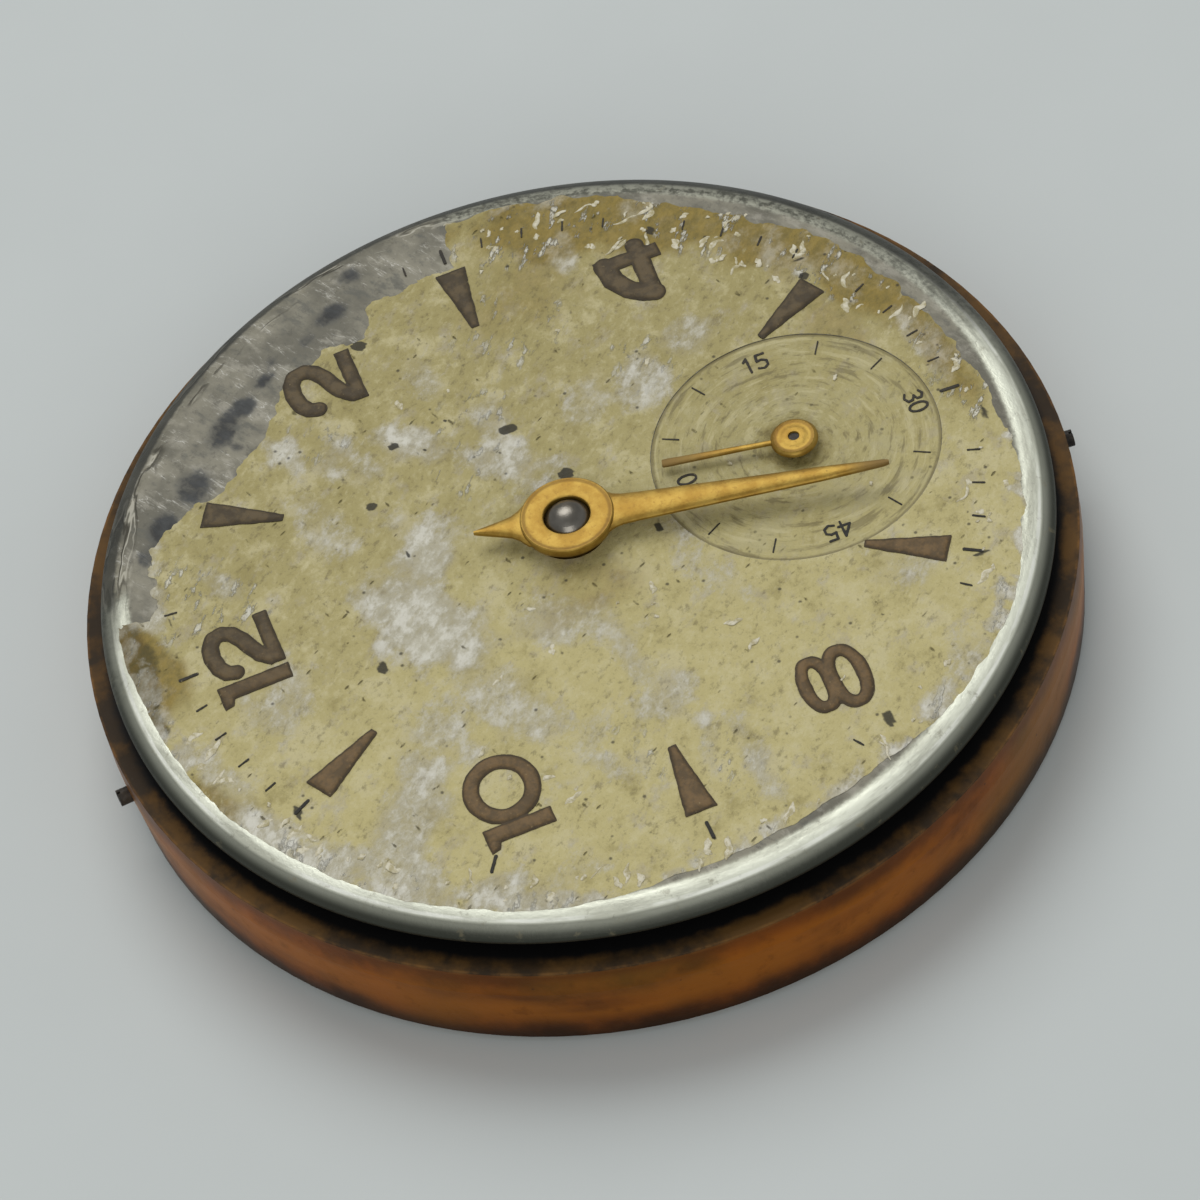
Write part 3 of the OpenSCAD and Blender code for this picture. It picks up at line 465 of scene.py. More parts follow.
def secondsReach(x, y):
    return np.hypot(x - dialShape["secondsAt"][0], y - dialShape["secondsAt"][1])


def patchMask(x, y, patches, seed, ragged=1.0):
    # strongest of some soft ellipses, their edges broken up by random fields
    total = np.zeros(np.shape(x))
    wander = 1.5 * (cloud(x, y, 1.9, seed, 2) - 0.5) + 0.9 * (cloud(x, y, 0.7, seed + 3, 3) - 0.5)
    for cx, cy, halfX, halfY, turn, strength in patches:
        a = math.radians(turn)
        u = ((x - cx) * math.cos(a) + (y - cy) * math.sin(a)) / halfX
        v = (-(x - cx) * math.sin(a) + (y - cy) * math.cos(a)) / halfY
        total = np.maximum(total, strength * ease(1.3 - np.hypot(u, v) + ragged * wander, -0.15, 1.0))
    return total


def dotMask(x, y, dots, seed):
    total = np.zeros(np.shape(x))
    wander = 0.9 * (cloud(x, y, 0.35, seed, 3) - 0.5)
    for cx, cy, halfX, halfY, strength in dots:
        away = np.hypot((x - cx) / halfX, (y - cy) / halfY)
        total = np.maximum(total, strength * ease(1.25 - away + wander, 0, 0.5))
    return total


def paintField(x, y):
    # positive where the paint is still on the dial
    r, turn = np.hypot(x, y), clockTurn(x, y)
    torn = 0.2 + 0.3 * ease(turn, 90, 110) * ease(turn, 215, 190)
    rimLine = np.interp(turn, *zip(*paintEdge)) + torn * (cloud(x, y, 0.6, 5, 4) - 0.5)
    bare = -insideArea(x, y, barePlace) + (cloud(x, y, 0.8, 7, 4) - 0.5) * 1.1
    secondsEdge = secondsReach(x, y) - dialShape["secondsRadius"] - 0.008
    return np.minimum.reduce([rimLine - r, bare, secondsEdge, r - dialShape["holeRadius"]])


def paintMasks(x, y):
    r = np.hypot(x, y)
    edgeWhite = ease(r, 11.9, 13.0) * ease(cloud(x, y, 1.3, 23, 4), 0.44, 0.6) * ease(0.8 * y - x, -2.0, 5.0)
    edgeWhite = np.maximum(edgeWhite, 0.8 * ease(r, 12.4, 12.9) * ease(cloud(x, y, 0.7, 24, 4), 0.52, 0.64))
    return {"chalk": np.maximum(patchMask(x, y, chalkPatches, 21), 0.95 * edgeWhite),
            "ochre": patchMask(x, y, ochrePatches, 25, 0.7), "stain": patchMask(x, y, stainPatches, 27, 0.8),
            "dots": dotMask(x, y, darkDots, 29),
            "fibres": np.maximum(patchMask(x, y, fibrePatches, 31), 0.75 * edgeWhite)}


def paintTop(x, y):
    lift = 0.016 * (cloud(x, y, 0.8, 41, 3) - 0.5) + 0.02 * paintMasks(x, y)["chalk"] * cloud(x, y, 0.5, 43, 3)
    return faceHeight(x, y) - 0.012 + lift + 0.012 * (ease(paintField(x, y), 0.0, 0.12) - 1)


paintTones = tones(left=(184, 173, 120), right=(160, 149, 98), pale=(199, 190, 148), chalk=(182, 178, 160),
                   white=(212, 210, 198), lilac=(168, 159, 138), ochre=(112, 96, 34), amber=(136, 114, 42),
                   stain=(94, 76, 26), olive=(70, 62, 22), green=(140, 128, 76), grime=(98, 88, 56),
                   black=(36, 34, 26), turned=(142, 133, 84))


def paintFinish(name, masked=True, grainCentre=None):
    # yellowed paint: mottled at every scale, with white veils, golden and brown stains, wisps, specks and a
    # leathery relief; the seconds circle has turned grain instead of the masks, and painted shade round its sunk
    # edge
    f = Finish(name, {"Specular IOR Level": 0.3})
    t = paintTones
    broad, mottle = f.noise(5.0, 4), f.noise(1.3, 9, 0.72, shift=(7, 3, 0))
    second = f.noise(0.8, 8, 0.7, place=f.grainPlace(-40, 1.25, 0.9), shift=(31, 5, 0))
    grain = f.noise(0.3, 6, 0.7, place=f.grainPlace(-45, 1.25, 0.9), shift=(2, 9, 0))
    fine = f.noise(0.1, 3, 0.6, shift=(8, 8, 0))
    colour = f.over(
        f.mix(f.soft(f.part("X") + broad.spread(12), -7.0, 7.0), t["left"], t["right"]),
        (f.soft(mottle, 0.48, 0.64) * 0.7, t["pale"]),
        (f.soft(mottle, 0.47, 0.33) * 0.55, t["green"]),
        (f.soft(second, 0.52, 0.66) * 0.5, t["lilac"]),
        (f.soft(grain, 0.52, 0.68) * 0.4, t["pale"]),
        (f.soft(grain, 0.46, 0.32) * 0.5, t["grime"]),
        (f.soft(fine, 0.42, 0.28) * 0.25, t["grime"]))
    relief = mottle * 0.5 + grain + fine * 0.2
    if masked:
        chalkMask = f.painted("chalk")
        ochre = f.soft(f.painted("ochre") + mottle.spread(1.4), 0.05, 0.8)
        stain = f.soft(f.painted("stain") + second.spread(1.6), 0.3, 0.8)
        drape = f.soft(chalkMask + mottle.spread(1.2), 0.1, 0.9)
        veil = f.soft(chalkMask + second.spread(2.0) + mottle.spread(1.4) + grain.spread(0.6), 0.2, 1.15)
        veil = veil * (1 - ochre * 0.55)
        wisp = f.noise(0.5, 6, 0.66, place=f.grainPlace(-38, 1.7, 0.75), shift=(5, 1, 0))
        wisps = f.soft(wisp, 0.56, 0.63) * f.soft(f.painted("fibres") + mottle.spread(1.6), 0.25, 0.8)
        colour = f.over(
            colour,
            (drape * 0.5, t["lilac"]),
            (ochre * 0.85, f.mix(f.soft(grain, 0.35, 0.65), t["ochre"], t["amber"])),
            (stain * 0.85, f.mix(f.soft(second, 0.4, 0.6), t["stain"], t["olive"])),
            (veil * 0.85, f.mix(f.soft(second + grain.spread(0.8), 0.4, 0.66), t["chalk"], t["white"])),
            (wisps * 0.8, t["white"]),
            (f.soft(wisp, 0.6, 0.7) * f.soft(broad, 0.46, 0.56) * 0.5, t["pale"]),
            (f.soft(f.painted("dots") + grain.spread(0.9), 0.22, 0.6) * 0.9, t["black"]))
        relief = relief + veil * 0.5 + wisps * 0.8
    specks = f.soft(f.grains(0.5), 0.16, 0.05) * f.soft(f.noise(0.9, 3, shift=(51, 8, 0)), 0.5, 0.56)
    colour = f.mix(specks * 0.75, colour, t["black"])
    for turn, size, where in ((-60, 0.5, 28), (20, 0.62, 71)):
        away = f.grains(size, f.grainPlace(turn, 1.9, 0.6)) + grain.spread(0.3)
        dashes = f.soft(away, 0.13, 0.04) * f.soft(f.noise(1.2, 3, shift=(5, where, 0)), 0.52, 0.58)
        colour = f.mix(dashes * 0.75, colour, t["olive"])
        relief = relief - dashes * 0.6
    if grainCentre:
        away = f.reach(grainCentre)
        turned = f.noise(0.22, 4, 0.6, place=f.ringPlace(grainCentre, 0.5, 1.0))
        relief = relief * 0.5 + turned * 1.2
        colour = f.over(
            colour,
            (f.soft(mottle, 0.3, 0.7) * 0.5, t["turned"]),
            (f.soft(turned, 0.54, 0.66) * 0.4, t["pale"]),
            (f.soft(turned, 0.46, 0.34) * 0.55, t["grime"]),
            # painted shade: a dark line round the foot of the sunk circle's wall
            (f.soft(away + fine.spread(0.06), 4.12, 4.2) * 0.6, t["grime"]),
            (f.soft(away + mottle.spread(1.5), 1.3, 0.7) * 0.5, t["ochre"]))
    return f.feed(colour=colour, rough=0.5 + grain * 0.2, height=relief, relief=0.06)


silverTones = tones(grey=(98, 95, 82), light=(128, 124, 108), pale=(164, 160, 146), dull=(84, 84, 76),
                    dark=(72, 69, 58), rim=(190, 191, 174), rimLight=(226, 228, 210), rimInside=(120, 120, 104),
                    scuff=(122, 121, 106), rimFall=(110, 112, 100), rimOutside=(50, 52, 44),
                    crest=(242, 243, 232), worn=(76, 76, 66), wornLight=(138, 138, 124),
                    scratch=(196, 194, 184), foldLight=(196, 192, 176), crease=(54, 50, 38), smoke=(70, 70, 66),
                    blot=(14, 16, 16), blotLight=(46, 49, 50), rust=(112, 104, 78), edgeLine=(40, 40, 34),
                    underside=(60, 52, 38))


def silverFinish(name):
    # the dial's bare metal: a bright bent rim, with a painted highlight along the top of its bend and painted
    # shade on its inner band and where it falls away to a dark outer edge, worn grey towards 3, and smoky blots,
    # scratches and creases where the paint is gone, its folds with painted highlight and painted shade; the disc's
    # lowest lip is painted darker as shade
    f = Finish(name, {"Specular IOR Level": 0.3})
    t = silverTones
    r, across, bareZone, blots = f.reach((0, 0)), f.part("X"), f.painted("bare"), f.painted("blots")
    broad, fine = f.noise(2.4, 5, 0.6), f.noise(0.22, 6, 0.7, shift=(4, 4, 0))
    veil = f.noise(0.9, 8, 0.7, place=f.grainPlace(30, 1.6, 0.8), shift=(6, 16, 0))
    arcs = f.noise(0.3, 4, 0.6, place=f.ringPlace((0, 0), 1.6, 1.0))
    # painted highlight: a bright line along the top of the rim's bend, broken up by noise
    crest = f.soft(abs(r + arcs.spread(0.12) - 13.56), 0.07, 0.02) * f.soft(arcs + (broad - 0.5), 0.3, 0.6)
    # the rim's colour with painted light: painted shade on its inner band and where it falls away outwards, and
    # the painted highlight, over bright and duller streaks
    shine = f.over(
        f.mix(f.soft(arcs, 0.36, 0.6), t["rim"], t["rimLight"]),
        (f.soft(r + fine.spread(0.16), 13.24, 13.0) * 0.75, t["rimInside"]),
        (f.soft(fine * 0.7 + arcs * 0.3, 0.42, 0.32) * 0.6, t["scuff"]),
        (f.soft(r + arcs.spread(0.1), 13.58, 13.68) * 0.8, t["rimFall"]),
        (f.soft(r + arcs.spread(0.1), 13.68, 13.94) * 0.95, t["rimOutside"]),
        (crest * 0.8, t["crest"]))
    worn = f.mix(f.soft(fine * 0.6 + arcs * 0.4, 0.42, 0.58), t["worn"], t["wornLight"])
    rim = f.soft(r + fine.spread(0.2), 12.95, 13.15) * f.soft(bareZone + fine.spread(0.2), 0.75, 0.3)
    stroke = f.noise(0.7, 4, 0.55, place=f.grainPlace(28, 3.2, 0.5), shift=(2, 60, 0))
    scratches = f.soft(abs(stroke - 0.5), 0.012, 0.003) * f.soft(veil, 0.48, 0.6) * bareZone
    fold = f.noise(0.8, 3, 0.5, place=f.ringPlace((0, 0), 3.2, 1.0), shift=(1, 2, 3))
    folded = bareZone * f.soft(r, 12.9, 13.3) * f.soft(f.noise(2.2, 2, shift=(9, 9, 1)), 0.45, 0.52)
    crease = f.soft(abs(fold - 0.5), 0.022, 0.006) * folded
    blot = f.soft(blots + fine.spread(0.8) + veil.spread(2.2), 0.3, 0.95)
    rust = f.soft(f.noise(0.6, 6, 0.7, shift=(19, 2, 0)), 0.58, 0.7) * f.soft(r, 13.0, 13.4)
    edgeLine = f.soft(r + fine.spread(0.2), 13.46, 13.6) * f.soft(across + broad.spread(6), 1.0, 6.0)
    colour = f.over(
        f.mix(f.soft(broad, 0.4, 0.6), t["grey"], t["light"]),
        (f.soft(veil, 0.5, 0.66) * 0.55, t["pale"]),
        (f.soft(veil, 0.47, 0.34) * 0.75, t["dull"]),
        (f.soft(fine, 0.46, 0.32) * 0.5, t["dark"]),
        (rim, f.mix(f.soft(across + broad.spread(8), -1.0, 7.0), shine, worn)),
        (scratches * 0.6, t["scratch"]),
        # painted highlight on one side of each fold, and painted shade in the groove beside it
        (f.soft(abs(fold - 0.54), 0.016, 0.005) * folded * 0.6, t["foldLight"]),
        (crease * 0.85, t["crease"]),
        (f.soft(blots + veil.spread(0.8), 0.05, 0.7) * 0.5, t["smoke"]),
        (blot * 0.92, f.mix(f.soft(veil, 0.4, 0.62), t["blot"], t["blotLight"])),
        (rust * 0.5, t["rust"]),
        (edgeLine * 0.85, t["edgeLine"]),
        # painted shade: the lowest, downward-facing lip of the disc is darkened
        (f.soft(f.part("Z"), 4.36, 4.24) * 0.85, t["underside"]))
    return f.feed(colour=colour, rough=0.45 - rim * 0.1 + fine * 0.14, metal=0.08 + rim * 0.45 - rust * 0.3,
                  height=fine * 0.7 + arcs * 0.4 + veil * 0.5 - crease * 0.8, relief=0.025)


def buildDial():
    d, s = dialShape, secondsShape
    middle, above = d["secondsAt"], 6
    face = [(x, float(faceHeight(x, 0.0)) - d["metalDrop"]) for x in np.linspace(d["domeReach"], 0.35, 72)]
    points, faces = lathe([*metalEdge, *face, (0.0, d["faceTop"] - d["metalDrop"])], segments=360)
    disc = newPiece("dialDisc", points, faces, "frame", silverFinish("bareDialMetal"), sharp=50)
    cut(disc, [rod(d["secondsRadius"], d["secondsFloor"] - d["metalDrop"], above, middle, 144),
               rod(d["holeRadius"], 4, above, segments=72), rod(d["pipeHole"], 4, above, middle)])
    feet = [rod(d["footRadius"], d["footLow"], d["footHigh"], clock(turn, d["footReach"]))
            for turn in d["footTurns"]]
    cut(disc, feet, "UNION")
    x, y = (np.array([v.co for v in disc.data.vertices]) / mm)[:, :2].T
    turn = clockTurn(x, y)
    carryMasks(disc.data, {"blots": patchMask(x, y, metalBlots, 33, 0.8),
                           "bare": ease(turn, 12, 22) * ease(turn, 98, 86)})
    shadeSharp(disc.data, 35)

    paintUnder = lambda a, b: faceHeight(a, b) - d["paintDrop"]
    low, high = (-13.7, -13.7), (13.7, 13.7)
    points, faces, x, y = layerMesh(paintField, paintTop, paintUnder, low, high, d["paintCell"])
    paint = newPiece("dialPaint", points, faces, "frame", paintFinish("agedDialPaint"),
                     paintMasks(x, y), 60)

    profile = [(s["inner"], s["under"]), (s["outer"], s["under"]), (s["outer"], s["top"])]
    profile += [(float(x), s["top"]) for x in np.linspace(s["firstRing"], s["inner"], s["rings"])]
    points, faces = lathe(profile, middle, 240)
    points = np.array(points)
    x, y, z = points.T
    ripple = s["ripple"] * (cloud(x, y, 0.9, 45, 3) - 0.5)
    points[:, 2] = np.where(z > s["under"] + 0.02, secondsHeight(x, y) + ripple, z)
    seconds = newPiece("secondsFace", points, faces, "frame", paintFinish("secondsFacePaint", False, middle),
                       None, 60)
    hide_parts("dial")
    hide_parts("dial")
    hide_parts("dial")
    print("dial made:", len(disc.data.vertices), len(paint.data.vertices), "points")


# print on the dial: the tone of its outline, then its darker and its lighter tone
brownPrint = (tone(46, 38, 22), tone(84, 67, 40), tone(110, 87, 54))
blackPrint = (tone(24, 23, 18), tone(38, 36, 28), tone(66, 62, 44))
printTones = tones(aged=(58, 49, 31), agedLight=(84, 72, 48), fleck=(160, 148, 112))


def figurePaint(name, edgeTone, lowTone, highTone):
    # mottled print, darker along its outline and on the half towards 3, with pale flecks
    f = Finish(name, {"Specular IOR Level": 0.35})
    t = printTones
    coarse, fine = f.noise(0.5, 4, 0.6), f.noise(0.12, 3, 0.6, shift=(3, 8, 0))
    side = f.soft(f.part("X") + coarse.spread(4), -4.0, 1.5)
    colour = f.over(
        f.mix(f.soft(coarse + fine.spread(0.5), 0.35, 0.68), lowTone, highTone),
        (side * 0.8, f.mix(f.soft(coarse, 0.4, 0.6), t["aged"], t["agedLight"])),
        (f.soft(f.painted("edge") + fine.spread(0.05), 0.11, 0.03) * 0.75, edgeTone),
        (f.soft(fine, 0.66, 0.78) * 0.5, t["fleck"]))
    return f.feed(colour=colour, rough=0.55 + fine * 0.2, height=fine + coarse, relief=0.02)


def raised(name, field, low, high, material, cell, height, base=None):
    # a domed stroke of paint on the dial, from a signed distance field
    under = base or (lambda a, b: faceHeight(a, b) - dialShape["printDrop"])
    top = lambda a, b: under(a, b) + 0.03 + height * ease(field(a, b), -0.02, 0.16)
    points, faces, x, y = layerMesh(field, top, under, low, high, cell)
    return newPiece(name, points, faces, "frame", material, {"edge": field(x, y)}, 50)


def boxedField(x, y, left, right, bottom, top):
    return np.minimum(np.minimum(x - left, right - x), np.minimum(y - bottom, top - y))


def flaggedBar(x, y, left, right, low, high):
    # the figure 1: an upright bar with a flag at its top
    flag = [(left - 0.02, high), (left - 0.3, high - 0.02), (left - 0.22, high - 0.3),
            (left + 0.05, high - 0.42), (left + 0.2, high - 0.1)]
    return np.maximum(boxedField(x, y, left, right, low, high), insideArea(x, y, flag))


def figureTwo(x, y, cx, cy, scale=1.0):
    u, v = (x - cx) / scale, (y - cy) / scale
    curve = [(-0.78, 0.38), (-0.7, 0.62), (-0.42, 0.8), (0.0, 0.87), (0.42, 0.82), (0.7, 0.64), (0.76, 0.36),
             (0.6, 0.08), (0.28, -0.12), (-0.1, -0.27), (-0.46, -0.45), (-0.72, -0.72)]
    bowl = 0.26 - strokeReach(u, v, curve)
    foot = boxedField(u, v, -0.98, 1.0, -1.1, -0.64)
    return np.maximum(bowl, foot) * scale


def ringField(x, y, cx, cy, halfX, halfY, stroke):
    u, v = (x - cx) / halfX, (y - cy) / halfY
    q = np.hypot(u, v) + 1e-6
    return stroke / 2 - np.abs(q - 1) * q / (np.hypot(u / halfX, v / halfY) + 1e-6)


def hourFields():
    # the five figures' fields, with the corners of the places that hold them
    fourSlant = [(9.1, -4.26), (8.45, -4.33), (7.88, -4.64), (7.56, -5.02), (7.46, -5.3)]
    fourBar = [(7.42, -5.28), (9.5, -5.36)]
    shapes = {
        "figureTwelve": (lambda x, y: (flaggedBar(x, y, -1.38, -0.82, 9.0, 11.2), figureTwo(x, y, 0.3, 10.1)),
                         (-1.9, 8.8), (1.5, 11.4)),
        "figureTwo": (lambda x, y: (figureTwo(x, y, 8.62, 4.88, 1.04),), (7.2, 3.6), (10.0, 6.1)),
        "figureFour": (lambda x, y: (0.33 - strokeReach(x, y, fourSlant), 0.29 - strokeReach(x, y, fourBar),
                                     boxedField(x, y, 8.8, 9.34, -5.98, -3.96)),
                       (6.9, -6.2), (9.9, -3.7)),
        "figureEight": (lambda x, y: (ringField(x, y, -8.46, -4.5, 0.84, 0.37, 0.41),
                                      ringField(x, y, -8.52, -5.38, 0.95, 0.45, 0.43)),
                        (-9.9, -6.3), (-7.0, -3.6)),
        "figureTen": (lambda x, y: (flaggedBar(x, y, -9.62, -9.06, 3.8, 5.85),
                                    ringField(x, y, -7.9, 4.85, 0.95, 0.88, 0.5)),
                      (-10.2, 3.6), (-6.5, 6.2))}
    wobble = lambda x, y: 0.05 * (cloud(x, y, 0.35, 61, 3) - 0.5)
    joined = lambda strokes: lambda x, y: np.maximum.reduce(strokes(x, y)) + wobble(x, y)
    return {name: (joined(strokes), low, high) for name, (strokes, low, high) in shapes.items()}


figureShape = {"cell": 0.045, "height": 0.055}
wedgeShape = {"baseAt": 11.1, "tipAt": 8.65, "baseHalf": 0.47, "tipHalf": 0.12,
              "turns": (30, 90, 150, 210, 270, 330), "cell": 0.045, "height": 0.05}
minuteTicks = {"reach": 11.85, "longDrop": 0.05, "longHalf": 0.26, "shortHalf": 0.17, "thick": 0.1,
               "thin": 0.055, "cell": 0.02, "height": 0.012,
               "shown": (56, 57, 58, 59, 2, 14, 15, 16, 17, 18, 19, 21, 22, 23, 24, 26, 27, 28, 29, 30, 32, 33, 34,
                         35, 36, 41, 45, 50, 55, 0)}
secondsMarks = {"ringReach": 3.72, "half": 0.24, "thick": 0.045, "figureHigh": 0.6, "stroke": 0.075,
                "pitch": 0.72, "figures": (("60", 0, 3.3), ("15", 90, 3.47), ("30", 180, 3.75), ("45", 270, 3.52)),
                "markCell": 0.018, "markHeight": 0.008, "figureCell": 0.022, "figureHeight": 0.01}


def digitStrokes(digit):
    # plain open figures in a box one high and 0.62 wide, as lists of points
    oval = [(0.31 + 0.27 * math.cos(a), 0.5 + 0.46 * math.sin(a)) for a in np.linspace(0, 2 * math.pi, 17)]
    return {"0": [oval],
            "1": [[(0.18, 0.78), (0.36, 0.98), (0.36, 0.02)]],
            "3": [[(0.06, 0.84), (0.28, 0.97), (0.52, 0.84), (0.5, 0.62), (0.26, 0.53), (0.52, 0.42),
                   (0.56, 0.18), (0.3, 0.03), (0.04, 0.14)]],
            "4": [[(0.44, 0.02), (0.44, 0.97), (0.02, 0.3), (0.62, 0.3)]],
            "5": [[(0.54, 0.96), (0.14, 0.96), (0.09, 0.56), (0.34, 0.6), (0.56, 0.46), (0.56, 0.18),
                   (0.32, 0.02), (0.05, 0.12)]],
            "6": [[(0.5, 0.92), (0.24, 0.84), (0.08, 0.5), (0.1, 0.16), (0.32, 0.02), (0.54, 0.16),
                   (0.52, 0.42), (0.3, 0.52), (0.1, 0.36)]]}[digit]


def markField(x, y, mark):
    # mark is (x, y, turn, half length, half thickness) of a straight painted line
    cx, cy, turn, half, thick = mark
    dx, dy = half * math.cos(turn), half * math.sin(turn)
    return np.maximum(-1.0, thick - strokeReach(x, y, [(cx - dx, cy - dy), (cx + dx, cy + dy)]))


def buildFigures():
    brown, black = figurePaint("figurePaint", *brownPrint), figurePaint("trackPaint", *blackPrint)
    pieces = []
    for name, (field, low, high) in hourFields().items():
        pieces.append(raised(name, field, low, high, brown, figureShape["cell"], figureShape["height"]))
    w = wedgeShape
    for turn in w["turns"]:
        out, side = np.array(clock(turn, 1.0)), np.array(clock(turn + 90, 1.0))
        corners = [tuple(out * w[end + "At"] + side * way * w[end + "Half"])
                   for end, way in (("base", 1), ("base", -1), ("tip", -1), ("tip", 1))]
        field = lambda x, y, c=corners: insideArea(x, y, c) + 0.05 * (cloud(x, y, 0.3, 63, 3) - 0.4)
        low, high = np.min(corners, axis=0) - 0.2, np.max(corners, axis=0) + 0.2
        pieces.append(raised(f"wedge{turn}", field, low, high, brown, w["cell"], w["height"]))
    t = minuteTicks
    for minute in t["shown"]:
        long = minute % 5 == 0
        middle = np.array(clock(6 * minute, t["reach"] - (t["longDrop"] if long else 0)))
        tilt = 0.25 * math.sin(minute * 12.9) * (0.2 if long else 0.6)
        mark = (*middle, math.radians(90 - 6 * minute) + tilt, t["longHalf" if long else "shortHalf"],
                t["thick" if long else "thin"] / 2)
        field = lambda x, y, m=mark: markField(x, y, m) + 0.02 * (cloud(x, y, 0.12, 65, 2) - 0.5)
        pieces.append(raised(f"minuteMark{minute}", field, middle - 0.4, middle + 0.4, black,
                             t["cell"], t["height"]))
    s = secondsMarks
    centre = np.array(dialShape["secondsAt"])
    high, pitch, halfStroke = s["figureHigh"], s["pitch"], s["stroke"] / 2
    floor = lambda x, y: secondsHeight(x, y) - 0.012
    for k in range(12):
        if k % 3:
            middle = centre + clock(30 * k, s["ringReach"])
            mark = (*middle, math.radians(90 - 30 * k), s["half"], s["thick"] / 2)
            field = lambda x, y, m=mark: markField(x, y, m) + 0.012 * (cloud(x, y, 0.1, 67, 2) - 0.5)
            pieces.append(raised(f"secondMark{5 * k}", field, middle - 0.35, middle + 0.35, black,
                                 s["markCell"], s["markHeight"], base=floor))
    for text, turn, reach in s["figures"]:
        out, side = np.array(clock(turn, 1.0)), np.array(clock(turn + 90, 1.0))
        middle = centre + out * reach
        lines = []
        for k, digit in enumerate(text):
            for stroke in digitStrokes(digit):
                lines.append([tuple(middle + high * (side * (px + pitch * k - 0.67) + out * (py - 0.5)))
                              for px, py in stroke])
        strokes = lambda x, y, ls=lines: np.maximum.reduce([halfStroke - strokeReach(x, y, ps) for ps in ls])
        field = lambda x, y, joined=strokes: joined(x, y) + 0.02 * (cloud(x, y, 0.12, 69, 2) - 0.5)
        pieces.append(raised("secondsFigure" + text, field, middle - 0.75, middle + 0.75, black,
                             s["figureCell"], s["figureHeight"], base=floor))
    for piece in pieces:
        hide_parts("dial")
    print("figures and marks made:", len(pieces))


shredShape = {"count": 150, "shortest": 0.14, "longest": 0.85, "width": 0.17, "thick": 0.018, "sunk": 0.004,
              "arch": 0.03, "steps": 10, "heading": -45, "farthest": 13.1, "seed": 12,
              "section": ((-1.0, 0.0), (-0.8, 0.6), (-0.3, 1.0), (0.3, 0.95), (0.8, 0.5), (1.0, 0.0))}
# where shreds lie: clock angles, radii, and the share of all shreds
shredPlaces = (((84, 205), (10.6, 12.7), 0.6), ((205, 270), (12.0, 12.8), 0.08),
               ((270, 350), (12.2, 13.1), 0.2), ((20, 360), (3.0, 11.0), 0.12))
shredTones = tones(low=(166, 156, 118), high=(208, 202, 180))


def buildShreds():
    # torn shreds of lifted paint, most of them along the edge of the dial
    f = Finish("liftedPaint", {"Specular IOR Level": 0.3})
    fine = f.noise(0.2, 5, 0.65)
    material = f.feed(colour=f.mix(f.soft(fine, 0.36, 0.62), shredTones["low"], shredTones["high"]),
                      rough=0.55 + fine * 0.2, height=fine, relief=0.03)
    c = shredShape
    rng = np.random.default_rng(c["seed"])
    size, steps = len(c["section"]), c["steps"]
    shares = [share for turns, reaches, share in shredPlaces]
    points, faces = [], []
    placed = 0
    while placed < c["count"]:
        turns, reaches, share = shredPlaces[int(rng.choice(len(shares), p=shares))]
        cx, cy = clock(rng.uniform(*turns), rng.uniform(*reaches))
        length = c["shortest"] + (c["longest"] - c["shortest"]) * rng.random() ** 2.2
        heading, bend = math.radians(c["heading"]) + rng.normal(0, 0.6), rng.normal(0, 0.9)
        width, arch = c["width"] * rng.uniform(0.4, 1.3), c["arch"] * rng.uniform(0.0, 1.0)
        ahead, aside = length * 0.5 * math.cos(heading), length * 0.5 * math.sin(heading)
        onMetal = insideArea(np.array([cx]), np.array([cy]), barePlace)[0] > -0.5
        onRing = abs(secondsReach(cx, cy) - dialShape["secondsRadius"]) < 0.8
        farthest = max(math.hypot(cx + s * ahead, cy + s * aside) for s in (-1, 1))
        if onMetal or onRing or farthest > c["farthest"]:
            continue
        placed += 1
        start = len(points)
        waves = rng.uniform(0, 6.3, 3)
        px, py = cx - ahead, cy - aside
        for k in range(steps + 1):
            t = k / steps
            a = heading + bend * (t - 0.5) + 0.35 * math.sin(7 * t + waves[2])
            half = min(width, 0.6 * length) * (0.2 + 0.8 * math.sin(math.pi * t) ** 0.7) / 2
            for across, up in c["section"]:
                ragged = half * across * (1 + 0.3 * math.sin(11 * t + waves[0 if across < 0 else 1]))
                lift = arch * math.sin(math.pi * t) + c["thick"] * up - c["sunk"]
                points.append((px - math.sin(a) * ragged, py + math.cos(a) * ragged, lift))
            px, py = px + math.cos(a) * length / steps, py + math.sin(a) * length / steps
            if k:
                one, two = start + size * (k - 1), start + size * k
                faces += [[one + m, one + (m + 1) % size, two + (m + 1) % size, two + m] for m in range(size)]
        faces += [[start + m for m in range(size)][::-1], [start + size * steps + m for m in range(size)]]
    points = np.array(points)
    points[:, 2] += paintTop(points[:, 0], points[:, 1])
    shreds = newPiece("paintShreds", points, faces, "frame", material, None, 75)
    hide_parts("dial")
    print("shreds made:", placed)


# The hands: half widths are given along the hand, the boss as a turned section

minuteHandShape = {"turn": 195, "low": 5.54, "high": 5.66, "crown": 0.055, "rise": math.tan(math.radians(1)),
                   "halfWidths": ((-2.75, 0.03), (-2.55, 0.1), (-1.95, 0.28), (-1.65, 0.38), (-1.42, 0.54),
                                  (-1.2, 0.78), (-0.9, 0.9), (0.9, 0.9), (1.15, 0.76), (1.35, 0.62),
                                  (1.6, 0.55), (2.1, 0.51), (3.3, 0.45), (5.45, 0.34), (7.4, 0.25),
                                  (8.5, 0.165), (9.25, 0.1), (9.4, 0.05)),
                   "boss": ((0.69, 5.47), (0.69, 5.735), (0.71, 5.76), (0.76, 5.772), (0.9, 5.77), (1.1, 5.762),
                            (1.22, 5.766), (1.29, 5.782), (1.335, 5.785), (1.37, 5.76), (1.38, 5.7), (1.38, 5.55),
                            (1.36, 5.5), (1.3, 5.465)), "ringAt": 1.27, "browning": (7.8, 9.2)}
